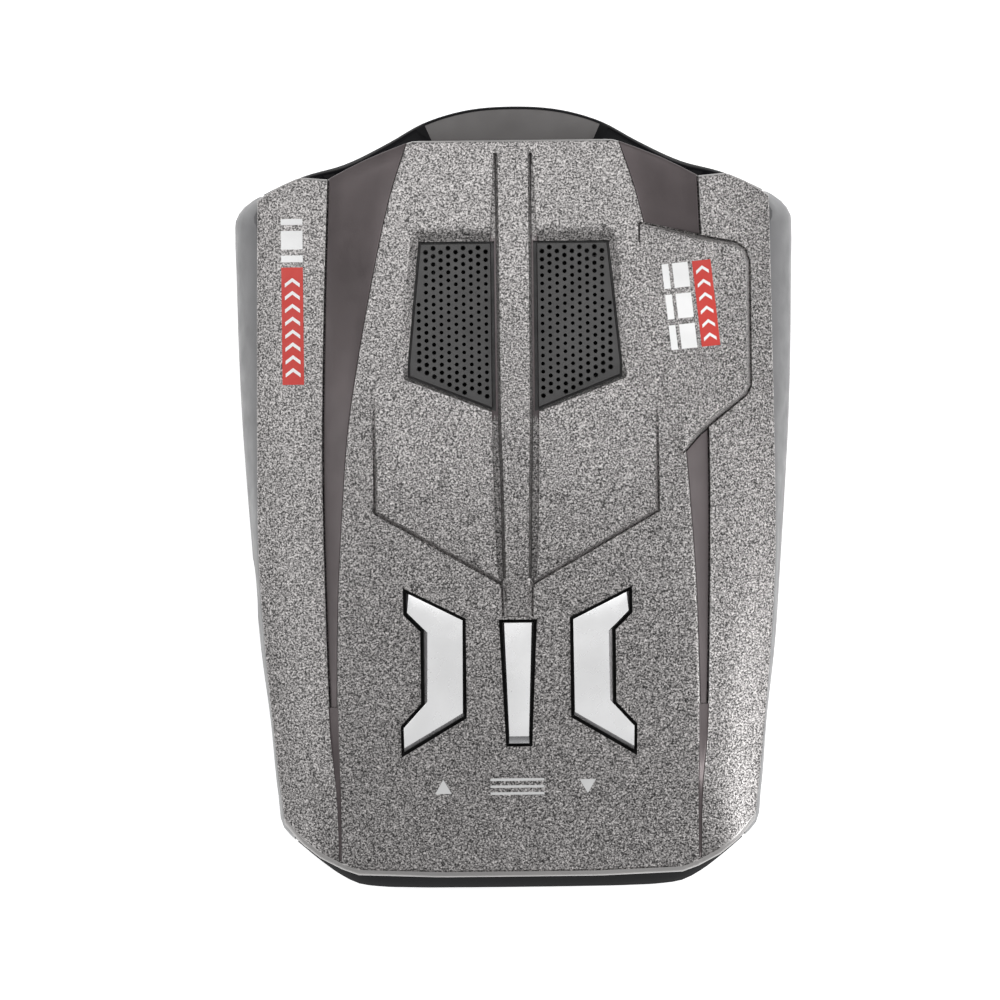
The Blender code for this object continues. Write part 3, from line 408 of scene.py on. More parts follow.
def cover_z(x, y):
    z = soft_surface_z(x, y)
    fade = min((PANEL_FRONT_Y - y) / 14.0, 1.0)
    panel = panel_depth(x, y)
    z += PANEL_RISE * max(fade, 0.0) * rounded_step(panel, PANEL_DRAFT)
    z -= foot_groove(panel, max(fade, 0.0))
    pod = depth_inside(POD, x, y) if x > 16 and y > 4 else -1.0
    if pod > 0:
        z = mix(z, pod_top(x, y), rounded_step(pod, POD_DRAFT))
    else:
        z -= pocket_drop(x, y) + strip_drop(x, y) + foot_groove(pod, 1.0)
    z -= lip_drop(x, y)
    half = smooth(SPINE_HALF, y)
    if abs(x) < smooth(CHANNEL_HALF, y) - 0.02 and CHANNEL_REAR_Y < y < CHANNEL_FRONT_Y:
        ends = min(y - CHANNEL_REAR_Y, CHANNEL_FRONT_Y - y)
        z = mix(z, surface_z(0, y) - CHANNEL_DEPTH, min(ends / 0.1, 1.0))
    elif SPINE_REAR_Y < y <= CHANNEL_REAR_Y:
        share = (abs(x) - half) / (smooth(CHANNEL_HALF, y) - half)
        z -= GROOVE_DEPTH * max(1 - abs(share / 0.25 - 1), 0.0)
    if abs(x) <= half + 0.001 and SPINE_REAR_Y < y < SPINE_FRONT_Y:
        top = surface_z(0, y) + smooth(SPINE_RISE, y)
        z = max(z, mix(surface_z(0, y) - CHANNEL_DEPTH, top, rounded_step(half + 0.001 - abs(x), 0.45)))
    return z - rim_drop(x, y)


# ---------------------------------------------------------------- mesh tools

def height(z, x, y):
    return z(x, y) if callable(z) else z


def raised(rise):
    return lambda x, y: surface_z(x, y) + rise


def lowered_underside(drop):
    return lambda x, y: underside_z(x, y) - drop


def add_loft(mesh, rings):
    """Joins rings of equally many points into one closed solid."""
    rows = [[mesh.verts.new(point) for point in ring] for ring in rings]
    count = len(rows[0])
    for low, high in zip(rows, rows[1:]):
        for i in range(count):
            j = (i + 1) % count
            mesh.faces.new((low[i], low[j], high[j], high[i]))
    caps = [mesh.faces.new(list(reversed(rows[0]))), mesh.faces.new(rows[-1])]
    bmesh.ops.triangulate(mesh, faces=caps)


def add_tower(mesh, levels):
    """A solid through (outline, z) levels, where z is a height or a function of x and y."""
    add_loft(mesh, [[(x, y, height(z, x, y)) for x, y in outline] for outline, z in levels])


def add_box(mesh, low, high):
    made = bmesh.ops.create_cube(mesh, size=1.0)
    bmesh.ops.scale(mesh, vec=Vector(high) - Vector(low), verts=made["verts"])
    bmesh.ops.translate(mesh, vec=(Vector(low) + Vector(high)) / 2, verts=made["verts"])


def add_peg(mesh, x, y, radius, z0, z1, segments=24):
    add_tower(mesh, [(circle(x, y, radius, segments), z0), (circle(x, y, radius, segments), z1)])


def add_turned(mesh, profile, x, y, segments=48):
    """A profile of (radius, z) points, from top to bottom, turned about an upright axis."""
    rings = [circle(x, y, max(radius, 0.01), segments) for radius, _ in reversed(profile)]
    levels = [z for _, z in reversed(profile)]
    add_tower(mesh, list(zip(rings, levels)))


def column_grid(columns, rear, front, count, edge_steps):
    """Places along each column, from rear to front, with extra ones near both ends."""
    grid = []
    for column in columns:
        low, high = rear(column(-45.0)), front(column(45.0))
        for _ in range(8):
            low, high = rear(column(low)), front(column(high))
        first, last = low + edge_steps[-1], high - edge_steps[-1]
        middle = [mix(first, last, i / count) for i in range(1, count)]
        places = [low + s for s in edge_steps] + middle + [high - s for s in reversed(edge_steps)]
        grid.append([(column(y), y) for y in places])
    return grid


def add_sheet(mesh, grid):
    rows = [[mesh.verts.new((x, y, 0.0)) for x, y in line] for line in grid]
    for left, right in zip(rows, rows[1:]):
        for i in range(len(left) - 1):
            mesh.faces.new((left[i], right[i], right[i + 1], left[i + 1]))


def score(mesh, outline, offsets, closed=True, reach=1.2):
    """Adds edges to a flat sheet along an outline's sides and their parallels."""
    ends = outline[1:] + outline[:1] if closed else outline[1:]
    for start, end in zip(outline, ends):
        start, end = Vector((*start, 0)), Vector((*end, 0))
        along = (end - start).normalized()
        across = Vector((-along.y, along.x, 0))
        length = (end - start).length
        for offset in offsets:
            near = set()
            for face in mesh.faces:
                place = face.calc_center_median() - start
                if -reach < place.dot(along) < length + reach and abs(place.dot(across) - offset) < 2.2:
                    near.add(face)
            geometry = list(near)
            geometry += list({edge for face in near for edge in face.edges})
            geometry += list({vert for face in near for vert in face.verts})
            bmesh.ops.bisect_plane(mesh, geom=geometry, plane_co=start + across * offset, plane_no=across,
                                   dist=0.002)


def thicken(mesh, under):
    """Closes a sheet with an underside at the given height and walls along every edge."""
    faces = list(mesh.faces)
    rims = [edge.link_loops[0] for edge in mesh.edges if edge.is_boundary]
    rims = [(loop.vert, loop.link_loop_next.vert) for loop in rims]
    twin = {}
    for vert in list(mesh.verts):
        twin[vert] = mesh.verts.new((vert.co.x, vert.co.y, under(vert.co.x, vert.co.y)))
    for face in faces:
        mesh.faces.new([twin[vert] for vert in reversed(face.verts)])
    for start, end in rims:
        mesh.faces.new((end, start, twin[start], twin[end]))


def new_object(name, mesh, smooth_angle=None):
    """Turns millimetre geometry into an object in metres, at the frame's origin."""
    bmesh.ops.scale(mesh, vec=(MM, MM, MM), verts=mesh.verts)
    bmesh.ops.recalc_face_normals(mesh, faces=mesh.faces)
    data = bpy.data.meshes.new(name)
    mesh.to_mesh(data)
    mesh.free()
    if smooth_angle:
        data.shade_smooth()
        data.set_sharp_from_angle(angle=math.radians(smooth_angle))
    made = bpy.data.objects.new(name, data)
    bpy.context.scene.collection.objects.link(made)
    return made


def piece(name, mesh, finish, body="case", stands_for=(), smooth_angle=35):
    made = new_object(name, mesh, smooth_angle)
    made.data.materials.append(finish)
    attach(made, body)
    if stands_for:
        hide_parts(*stands_for)
    return made


def carve(target, cutter_mesh, smooth_angle=35):
    """Cuts a shape away and leaves the result as the target's own mesh."""
    tool = new_object("tool", cutter_mesh)
    modifier = target.modifiers.new("carve", "BOOLEAN")
    modifier.operation = "DIFFERENCE"
    modifier.object = tool
    modifier.solver = "EXACT"
    bpy.context.view_layer.update()
    evaluated = target.evaluated_get(bpy.context.evaluated_depsgraph_get())
    result = bpy.data.meshes.new_from_object(evaluated)
    target.modifiers.remove(modifier)
    old = target.data
    target.data = result
    bpy.data.meshes.remove(old)
    bpy.data.objects.remove(tool)
    target.data.shade_smooth()
    target.data.set_sharp_from_angle(angle=math.radians(smooth_angle))


# ---------------------------------------------------------------- materials

class Finish:
    """A Principled material with helpers that wire procedural detail into it."""

    def __init__(self, name, colour, roughness, metallic=0.0, **sockets):
        self.material = bpy.data.materials.new(name)
        self.material.use_nodes = True
        self.tree = self.material.node_tree
        self.shader = self.tree.nodes["Principled BSDF"]
        self.colour = (*colour, 1.0)
        self.shader.inputs["Base Color"].default_value = self.colour
        self.shader.inputs["Roughness"].default_value = roughness
        self.shader.inputs["Metallic"].default_value = metallic
        for socket, value in sockets.items():
            self.shader.inputs[socket.replace("_", " ")].default_value = value
        self.coordinates = self.tree.nodes.new("ShaderNodeTexCoord").outputs["Object"]
        self.normal = None

    def link(self, source, target):
        self.tree.links.new(source, target)

    def noise(self, size_mm, detail=3.0, stretch=(1, 1, 1), roughness=0.5):
        """Noise whose features are about the given size."""
        mapping = self.tree.nodes.new("ShaderNodeMapping")
        mapping.inputs["Scale"].default_value = stretch
        texture = self.tree.nodes.new("ShaderNodeTexNoise")
        texture.inputs["Scale"].default_value = 1.0 / (size_mm * MM)
        texture.inputs["Detail"].default_value = detail
        texture.inputs["Roughness"].default_value = roughness
        self.link(self.coordinates, mapping.inputs["Vector"])
        self.link(mapping.outputs["Vector"], texture.inputs["Vector"])
        return texture.outputs["Fac"]

    def cells(self, size_mm):
        """A random value for each small cell, as in metal flake."""
        texture = self.tree.nodes.new("ShaderNodeTexVoronoi")
        texture.inputs["Scale"].default_value = 1.0 / (size_mm * MM)
        self.link(self.coordinates, texture.inputs["Vector"])
        split = self.tree.nodes.new("ShaderNodeSeparateColor")
        self.link(texture.outputs["Color"], split.inputs["Color"])
        return split.outputs["Red"]

    def spread(self, source, low, high, start=0.3, end=0.7):
        """Maps a pattern onto a range of numbers."""
        node = self.tree.nodes.new("ShaderNodeMapRange")
        for socket, value in zip(("From Min", "From Max", "To Min", "To Max"), (start, end, low, high)):
            node.inputs[socket].default_value = value
        self.link(source, node.inputs["Value"])
        return node.outputs["Result"]

    def times(self, a, b):
        node = self.tree.nodes.new("ShaderNodeMath")
        node.operation = "MULTIPLY"
        self.link(a, node.inputs[0])
        self.link(b, node.inputs[1])
        return node.outputs["Value"]

    def shade(self, source):
        """Multiplies the colour by a pattern."""
        node = self.tree.nodes.new("ShaderNodeVectorMath")
        node.operation = "SCALE"
        node.inputs[0].default_value = self.colour[:3]
        self.link(source, node.inputs["Scale"])
        self.link(node.outputs["Vector"], self.shader.inputs["Base Color"])

    def rough(self, source):
        self.link(source, self.shader.inputs["Roughness"])

    def bump(self, source, depth_mm, strength=1.0):
        node = self.tree.nodes.new("ShaderNodeBump")
        node.inputs["Strength"].default_value = strength
        node.inputs["Distance"].default_value = depth_mm * MM
        self.link(source, node.inputs["Height"])
        if self.normal:
            self.link(self.normal, node.inputs["Normal"])
        self.normal = node.outputs["Normal"]
        self.link(self.normal, self.shader.inputs["Normal"])


def textured_paint():
    """Metallic silver-grey paint over a fine grained moulding."""
    finish = Finish("textured_silver", (0.262, 0.252, 0.249), 0.42, 0.7)
    grain = finish.noise(0.24, detail=1.0, roughness=0.6)
    flakes = finish.cells(0.16)
    clouds = finish.noise(14.0, detail=2.0)
    tone = finish.times(finish.spread(grain, 0.2, 1.88, 0.35, 0.65), finish.spread(flakes, 0.5, 1.5, 0, 1))
    finish.shade(finish.times(tone, finish.spread(clouds, 0.96, 1.04)))
    finish.rough(finish.spread(flakes, 0.32, 0.56, 0, 1))
    finish.bump(grain, 0.06, 0.9)
    return finish.material


def moulded(name, colour, roughness, metallic=0.0, grain_mm=0.5, depth_mm=0.006, **sockets):
    """Smooth moulded or painted plastic: faint mottling, uneven gloss and a very fine grain."""
    finish = Finish(name, colour, roughness, metallic, **sockets)
    clouds = finish.noise(9.0, detail=4.0)
    finish.shade(finish.spread(clouds, 0.92, 1.08))
    finish.rough(finish.spread(finish.noise(3.0, detail=5.0), roughness * 0.85, roughness * 1.2))
    finish.bump(finish.noise(grain_mm, detail=3.0), depth_mm)
    return finish.material


def brushed(name, colour, roughness, direction=(1, 14, 1), metallic=1.0):
    """Metal with fine parallel scratches."""
    finish = Finish(name, colour, roughness, metallic)
    scratches = finish.noise(0.5, detail=4.0, stretch=direction)
    finish.shade(finish.spread(scratches, 0.9, 1.08))
    finish.rough(finish.spread(scratches, roughness * 0.75, roughness * 1.35))
    finish.bump(scratches, 0.006, 0.6)
    return finish.material


def glossy(name, colour, roughness, **sockets):
    """Polished plastic with faint smears and dust in its gloss."""
    finish = Finish(name, colour, roughness, 0.0, **sockets)
    finish.shade(finish.spread(finish.noise(12.0), 0.8, 1.2))
    finish.rough(finish.spread(finish.noise(2.5, detail=6.0), roughness * 0.7, roughness * 1.6))
    finish.bump(finish.noise(8.0, detail=1.0), 0.01, 0.3)
    return finish.material


SILVER = textured_paint()
# Lighter grey for the cover's rear roll and front rim: a painted highlight along the rolled edges.
EDGE_HIGHLIGHT = moulded("cover_edge", (0.4, 0.39, 0.385), 0.36, 0.6, grain_mm=0.3)
SMOOTH_GREY = moulded("smooth_grey", (0.098, 0.098, 0.102), 0.36, 0.2)
GLOSS_BLACK = glossy("smoked_lens", (0.006, 0.006, 0.007), 0.12, Specular_IOR_Level=0.0, Coat_Weight=0.07,
                     Coat_Roughness=0.06)
WINDOW_BLACK = glossy("smoked_window", (0.005, 0.005, 0.006), 0.1, Specular_IOR_Level=0.0, Coat_Weight=0.05,
                      Coat_Roughness=0.06)
# Lighter grey for the upward centre of the glossy lens roof: painted reflection of the overhead light.
LENS_TOP_SHEEN = moulded("lens_crescent", (0.068, 0.063, 0.062), 0.34, 0.2, grain_mm=0.3)
GRILLE_DARK = moulded("grille_dark", (0.046, 0.045, 0.045), 0.4, 0.25, grain_mm=0.12, depth_mm=0.01)
# Dark grey for the facet trims, the strips behind them and the channels beside the spine: painted shade,
# standing in for the darkness of the steep facets and the channel walls.
PAINTED_SHADE = moulded("inlay_dark", (0.1, 0.084, 0.086), 0.36, 0.55)
BRIGHT = moulded("button_bright", (0.86, 0.86, 0.865), 0.26, 0.35, grain_mm=0.4, depth_mm=0.003)
RUBBER = moulded("foot_rubber", (0.028, 0.028, 0.028), 0.8, grain_mm=0.25, depth_mm=0.03)
LABEL = brushed("label_film", (0.62, 0.62, 0.62), 0.45, (1, 20, 1), 0.5)
SCREW = brushed("screw_steel", (0.55, 0.55, 0.56), 0.32, (1, 1, 1))
# Darker metal for the keys' steep bevels: painted shade on the sides of the keys.
KEY_SLOPE_SHADE = moulded("button_edge", (0.42, 0.42, 0.43), 0.28, 1.0, grain_mm=0.4, depth_mm=0.003)
PRINT_WHITE = moulded("print_white", (0.82, 0.82, 0.82), 0.5, grain_mm=0.2)
PRINT_RED = moulded("print_red", (0.55, 0.035, 0.025), 0.5, grain_mm=0.2)
PRINT_GREY = moulded("print_grey", (0.55, 0.55, 0.55), 0.5, grain_mm=0.2)
# Near-black for the keys' faces below the cover's face: painted shade in the gap round each key.
KEY_GAP_SHADE = moulded("inside_black", (0.012, 0.012, 0.012), 0.7)


# ---------------------------------------------------------------- cover

def cover_columns():
    """Lines that run front to back over the cover, closer together beside every edge."""
    def inner(y):
        return smooth(FACET_INNER_X, y)

    def outer(y):
        return smooth(FACET_OUTER_X, y)

    def crease(y):
        return smooth(CREASE_X, y)

    def channel(y):
        return smooth(CHANNEL_HALF, y)

    right = [lambda y, back=back: smooth(SPINE_HALF, y) - back for back in (1.3, 0.45, 0.22, 0.08, 0.0)]
    right += [lambda y, share=share: mix(smooth(SPINE_HALF, y), channel(y), share) for share in (0.25, 0.5)]
    right += [lambda y: channel(y) - 0.03, channel]
    right += [lambda y, share=share / 12: mix(channel(y), inner(y) - 0.5, share) for share in range(1, 13)]
    right += [lambda y, back=back: inner(y) + back for back in (-0.22, -0.08, 0.0)]
    right += [lambda y, k=k: inner(y) + k * facet_margin(y) for k in (1, 2)]
    right += [lambda y, share=share: mix(inner(y), outer(y), share) for share in (0.35, 0.5, 0.65)]
    right += [lambda y, k=k: outer(y) - k * facet_margin(y) for k in (2, 1)]
    right += [lambda y, out=out: outer(y) + out for out in (0.0, 0.08, 0.22)]
    right += [lambda y, share=share / 9: mix(outer(y) + 0.22, crease(y) - 0.3, share)
              for share in range(1, 10)]
    right += [lambda y, back=back: crease(y) - back for back in (0.18, 0.07, 0.0)]
    left = [lambda y, line=line: -line(y) for line in reversed(right)]
    return left + [lambda y: 0.0] + right


def panel_line():
    """The hexagonal panel's right edge, from its rear point to where it fades out."""
    corner_y = PANEL_POINT[1] + PANEL_SLOPE * (PANEL_HALF - PANEL_POINT[0])
    return [PANEL_POINT, (PANEL_HALF, corner_y), (PANEL_HALF, PANEL_FRONT_Y)]


def make_cover():
    mesh = bmesh.new()
    edge_steps = (0, 0.08, 0.22, 0.45, 0.7, 0.8, 0.91)
    add_sheet(mesh, column_grid(cover_columns(), rear_edge_y, front_edge_y, 92, edge_steps))
    foot_steps = (-2 * GROOVE_HALF, -GROOVE_HALF, 0.0, 0.06, 0.15)
    for side, flip in ((-1, mirrored), (1, list)):
        edge = [(side * x, y) for x, y in panel_line()]
        steps = [side * step for step in (*foot_steps, PANEL_DRAFT)]
        score(mesh, edge, steps, closed=False, reach=0.4)
        score(mesh, flip(GRILLE_LIP), (0.0,), reach=0.3)
        score(mesh, flip(GRILLE_OPENING), (0.0,), reach=0.3)
    for line in (POD_FRONT[::-1] + POD_REAR[:1], POD_REAR[4:] + [POD_FRONT[-1]]):
        score(mesh, line, (*foot_steps, 0.3, POD_DRAFT), closed=False, reach=0.4)
    for outline in (mirrored(SIDE_BUTTON), MENU_BUTTON, SIDE_BUTTON):
        score(mesh, outline, (0.0,), reach=0.2)
    for y in (CHANNEL_REAR_Y, CHANNEL_REAR_Y + 0.1, CHANNEL_FRONT_Y - 0.1, CHANNEL_FRONT_Y):
        score(mesh, [(-3.2, y), (3.2, y)], (0.0,), closed=False, reach=0.1)
    for y in (SPINE_REAR_Y, SPINE_REAR_Y + 0.15, SPINE_FRONT_Y):
        score(mesh, [(-2.5, y), (2.5, y)], (0.0,), closed=False, reach=0.1)
    for side in (-1, 1):
        for y, steps in ((INLAY_REAR_Y, (0.0, side * 0.1)), (STRIP_REAR_Y, (0.0, -side * 0.1))):
            score(mesh, [(side * x, y) for x in STRIP_REACH_X], steps, closed=False, reach=0.1)
    openings = [GRILLE_OPENING, mirrored(GRILLE_OPENING), mirrored(SIDE_BUTTON), MENU_BUTTON, SIDE_BUTTON]
    gone = []
    for face in mesh.faces:
        place = face.calc_center_median()
        if any(contains(outline, place.x, place.y) for outline in openings):
            gone.append(face)
    bmesh.ops.delete(mesh, geom=gone, context="FACES")
    bmesh.ops.triangulate(mesh, faces=mesh.faces)
    for vert in mesh.verts:
        vert.co.z = cover_z(vert.co.x, vert.co.y)
    thicken(mesh, lambda x, y: min(underside_z(x, y), cover_z(x, y) - 0.4))
    cover = piece("top_cover", mesh, SILVER, stands_for=["top_shell"],
                  smooth_angle=40)
    cover.data.materials.append(PAINTED_SHADE)
    cover.data.materials.append(EDGE_HIGHLIGHT)
    for face in cover.data.polygons:
        x, y = abs(face.center.x / MM), face.center.y / MM
        # Faces in the facet band behind the trims take the dark grey: painted shade of the steep facets.
        in_strip = smooth(FACET_INNER_X, y) + 0.02 < x < smooth(FACET_OUTER_X, y) - 0.02
        # Faces beside the spine along the grilles take the dark grey: painted shade in the channel.
        beside_spine = smooth(SPINE_HALF, y) + 0.02 < x < smooth(CHANNEL_HALF, y)
        behind_inlay = STRIP_REAR_Y < y < INLAY_REAR_Y
        beside_grille = CHANNEL_SHADE_Y[0] < y < CHANNEL_SHADE_Y[1]
        if in_strip and behind_inlay or beside_spine and beside_grille:
            face.material_index = 1
        # The rear roll and the front rim take the lighter grey: painted highlight on the edges.
        elif line_distance(REAR_EDGE, x, y) < REAR_ROLL - 0.02 or line_distance(FRONT_EDGE, x, y) < 0.2:
            face.material_index = 2


# ---------------------------------------------------------------- trim, lens, window

INLAY_INNER_MARGIN = 0.16
INLAY_OUTER_MARGIN = 0.34


def facet_lines(side):
    """Lines along a facet between its two edges, kept off them by the inlay's margins."""
    def low(y):
        return smooth(FACET_INNER_X, y) + INLAY_INNER_MARGIN

    def high(y):
        return smooth(FACET_OUTER_X, y) - INLAY_OUTER_MARGIN

    shares = [(0, 0.0), (0, 0.07), (0, 0.2), (0.25, 0.1), (0.5, 0), (0.75, -0.1), (1, -0.2), (1, -0.07),
              (1, 0.0)]
    lines = [lambda y, s=s, off=off: side * (mix(low(y), high(y), s) + off) for s, off in shares]
    return lines if side > 0 else lines[::-1]


def make_inlays():
    for name, (side, rear, front) in POCKETS.items():
        rear_gap = (lambda x, rear=rear: rear(x) + 0.03)
        front_gap = front if front is front_edge_y else (lambda x, front=front: front(x) - 0.2)
        mesh = bmesh.new()
        grid = column_grid(facet_lines(side), rear_gap, front_gap, 40, (0, 0.07, 0.2))
        add_sheet(mesh, grid)

        def top(x, y):
            across = min(abs(x) - smooth(FACET_INNER_X, y) - INLAY_INNER_MARGIN,
                         smooth(FACET_OUTER_X, y) - abs(x) - INLAY_OUTER_MARGIN)
            near = max(min(across, y - rear_gap(x), front_gap(x) - y), 0.0)
            return surface_z(x, y) - 0.05 - 0.15 * rolled(near, 0.2)

        for vert in mesh.verts:
            vert.co.z = top(vert.co.x, vert.co.y)
        thicken(mesh, raised(-0.75))
        # The trims' dark grey is painted shade of the steep facets.
        piece("trim_" + name.removeprefix("inlay_"), mesh, PAINTED_SHADE, stands_for=[name])


def full_arc(arc):
    """Stations along the whole front or rear, smoothly, from the arc of the right half."""
    left = [(-x, y, lean) for x, y, lean in arc if x > 0]
    ordered = sorted(set(left + list(arc)))
    return flowing(ordered, 1.2)


def wrapped_panel(name, stations, sill_z, edge_y, tuck, finish, roof_drop, node):
    """A curved window: upright below, leaning in above, with a rounded rim and a roof that tucks under
    the cover."""
    outline = [(p[0], p[1]) for p in stations]
    flip = 1 if edge_y is front_edge_y else -1
    rings = []
    for index, (x, y, lean) in enumerate(stations):
        before = Vector(outline[max(index - 1, 0)])
        after = Vector(outline[min(index + 1, len(outline) - 1)])
        along = (after - before).normalized() * flip
        inwards = Vector((along.y, -along.x))
        edge_x = min(abs(x), smooth(CREASE_X, y))
        top_z = underside_z(edge_x, edge_y(edge_x)) - GAP
        back = max(lean + tuck, tuck + abs(y - edge_y(edge_x)) if abs(x) < 24 else 0.0)
        rim_z = top_z - roof_drop(abs(x))
        profile = [(0.12, sill_z), (0.0, sill_z + 0.12), (0.0, WIDEST_Z - 1), (0.02, WIDEST_Z),
                   (mix(0.02, lean, 0.5), mix(WIDEST_Z, rim_z - 0.5, 0.5)), (lean, rim_z - 0.5),
                   (lean + 0.1, rim_z - 0.2), (lean + 0.28, rim_z - 0.03), (lean + 0.45, rim_z),
                   (max(back - 0.6, lean + 0.6), top_z), (back, top_z), (back, top_z - 0.9),
                   (back - 0.1, top_z - 1.3), (min(lean + 1.5, back - 0.2), rim_z - 1.3),
                   (1.6, WIDEST_Z), (1.6, sill_z)]
        rings.append([(x + inwards.x * d, y + inwards.y * d, z) for d, z in profile])
    mesh = bmesh.new()
    add_loft(mesh, rings)
    return piece(name, mesh, finish, stands_for=[node], smooth_angle=38)


def make_windows():
    def front_drop(x):
        return 2.4 * eased((x - 12.3) / 0.8) * (1 - eased((x - 20) / 5))

    visor = wrapped_panel("lens_visor", full_arc(FRONT_ARC), LENS_SILL_Z + GAP, front_edge_y, LENS_TUCK,
                          GLOSS_BLACK, front_drop, "front_lens")
    tools = bmesh.new()
    add_box(tools, (-60, 0, 0), (60, LENS_CUT_Y + GAP, 60))
    carve(visor, tools)
    # Upward faces of the lens roof's centre get the lighter grey: painted reflection on the black lens.
    visor.data.materials.append(LENS_TOP_SHEEN)
    for face in visor.data.polygons:
        if abs(face.center.x) < 12.4 * MM and face.normal.z > 0.9 and face.center.z > 20 * MM:
            face.material_index = 1
    wrapped_panel("rear_window", full_arc(REAR_ARC), WINDOW_SILL_Z + GAP, rear_edge_y, WINDOW_TUCK,
                  WINDOW_BLACK, lambda x: 0.0, "display_window")


# ---------------------------------------------------------------- bottom case

def case_ring():
    """The case's widest outline with the lean of its upper wall, anticlockwise from the front."""
    side = [(smooth(SIDE_X, y), y, smooth(SIDE_X, y) - smooth(CREASE_X, y)) for y in range(30, -41, -10)]
    right = FRONT_ARC + side + [(31.75, -44.2, 0.6)] + REAR_ARC
    left = [(-x, y, lean) for x, y, lean in right if x > 0]
    return flowing(left + right[::-1], 1.4, closed=True)


def make_case():
    ring = case_ring()
    outline = [(x, y) for x, y, _ in ring]
    steps = [Vector(a) - Vector(b) for a, b in zip(inset(outline, 1.0), outline)]

    def leaned(extra):
        return [tuple(Vector(p) + s * (r[2] + extra)) for p, s, r in zip(outline, steps, ring)]

    def wall_top(x, y):
        return smooth(CREASE_Z, y) - SHELL - GAP

    def curved(share):
        """Rings between the widest one and the wall's top, a little fuller than a straight lean."""
        return [tuple(Vector(p) + s * r[2] * share**1.5) for p, s, r in zip(outline, steps, ring)]

    def between(share):
        return lambda x, y: mix(WIDEST_Z, wall_top(x, y), share)

    levels = [(inset(outline, 3.0), BASE_Z), (inset(outline, 2.2), 1.0), (inset(outline, 1.45), 1.5),
              (inset(outline, 0.9), 2.4), (inset(outline, 0.5), 3.8), (inset(outline, 0.15), 6.2),
              (outline, WIDEST_Z)]
    levels += [(curved(share), between(share)) for share in (0.25, 0.5, 0.75)]
    levels += [(leaned(0.0), between(0.98)), (leaned(0.12), wall_top), (leaned(1.5), wall_top),
               (inset(outline, WALL), WIDEST_Z), (inset(outline, 2.3), 4.4), (inset(outline, 2.9), FLOOR_Z)]
    mesh = bmesh.new()
    add_tower(mesh, levels)
    case = piece("lower_case", mesh, SMOOTH_GREY, stands_for=["bottom_shell"])

    tools = bmesh.new()
    add_box(tools, (-60, LENS_CUT_Y, LENS_SILL_Z), (60, 70, 40))
    add_box(tools, (-WINDOW_CUT_X, -70, WINDOW_SILL_Z), (WINDOW_CUT_X, -43.0, 40))
    carve(case, tools)
    tools = bmesh.new()
    for x, y in CASE_SCREWS.values():
        add_turned(tools, [(1.3, 6.0), (1.3, 1.9), (2.7, 1.9), (2.75, 0.95), (3.0, 0.5)], x, y, 32)
    for x, y in FEET.values():
        add_peg(tools, x, y, 4.3, -1.0, 1.6, 48)
    add_box(tools, (-18, -17, -1), (18, 5, 1.5))
    carve(case, tools)
    tools = bmesh.new()
    bore = circle(SOCKET_Y, SOCKET_Z, SOCKET_BORE, 48)
    mouth = circle(SOCKET_Y, SOCKET_Z, SOCKET_MOUTH, 48)
    stations = [(-40.0, mouth), (-35.3, mouth), (-35.0, bore), (-28.0, bore)]
    add_loft(tools, [[(x, y, z) for y, z in section] for x, section in stations])
    carve(case, tools)


# ---------------------------------------------------------------- grilles and buttons

def make_grilles():
    for name, flip in (("left", mirrored), ("right", list)):
        plate = flip(GRILLE_PLATE)
        mesh = bmesh.new()
        add_tower(mesh, [(inset(plate, -0.7), raised(-2.5)), (inset(plate, -0.7), raised(-1.95)),
                         (plate, raised(-1.95)), (plate, raised(-1.2)), (inset(plate, 0.1), raised(-1.1))])
        grille = piece("speaker_grille_" + name, mesh, GRILLE_DARK, stands_for=["grille_" + name],
                       smooth_angle=25)
        tools = bmesh.new()
        for column in range(HOLE_COLUMNS):
            x = HOLE_START[0] + column * HOLE_PITCH_X
            for row in range(HOLE_ROWS):
                y = HOLE_START[1] + (row + 0.5 * (column % 2)) * HOLE_PITCH_Y
                if depth_inside(GRILLE_PLATE, x, y) > HOLE_BORDER:
                    across = x if flip is list else -x
                    bore = circle(across, y, HOLE_RADIUS, HOLE_SIDES)
                    rim = circle(across, y, HOLE_RIM, HOLE_SIDES)
                    add_tower(tools, [(bore, raised(-3.5)), (bore, raised(-1.32)), (rim, raised(-1.05))])
        carve(grille, tools, smooth_angle=25)


def make_buttons():
    shapes = {"up": (mirrored(SIDE_BUTTON), mirrored(SIDE_BUTTON_TOP)),
              "menu": (MENU_BUTTON, MENU_BUTTON_TOP), "down": (SIDE_BUTTON, SIDE_BUTTON_TOP)}
    for name, (opening, top) in shapes.items():
        body = inset(opening, 0.42)
        x, y = (sum(p[i] for p in opening) / len(opening) for i in (0, 1))

        def blended(share):
            return [(mix(a[0], b[0], share), mix(a[1], b[1], share)) for a, b in zip(body, top)]

        mesh = bmesh.new()
        flange = inset(opening, -0.8)
        add_tower(mesh, [(flange, lowered_underside(1.15)), (flange, lowered_underside(0.35)),
                         (body, lowered_underside(0.35)), (body, raised(0.05)), (blended(0.15), raised(0.22)),
                         (blended(0.8), raised(BUTTON_RISE - 0.12)),
                         (blended(0.93), raised(BUTTON_RISE - 0.03)),
                         (inset(top, 0.08), raised(BUTTON_RISE))])
        key = piece("key_" + name, mesh, BRIGHT, body="button_" + name, stands_for=["button_" + name],
                    smooth_angle=32)
        key.data.materials.append(KEY_GAP_SHADE)
        key.data.materials.append(KEY_SLOPE_SHADE)
        for face in key.data.polygons:
            place = face.center / MM
            # Key faces below the cover's face, down in the gap round the key, get near-black: painted shade
            # in the gap.
            if place.z < surface_z(place.x, place.y) + 0.1:
                face.material_index = 1
            # Steep faces of the key's bevel get the darker metal: painted shade on the key's sides.
            elif face.normal.z < 0.88:
                face.material_index = 2


# ---------------------------------------------------------------- printed marks

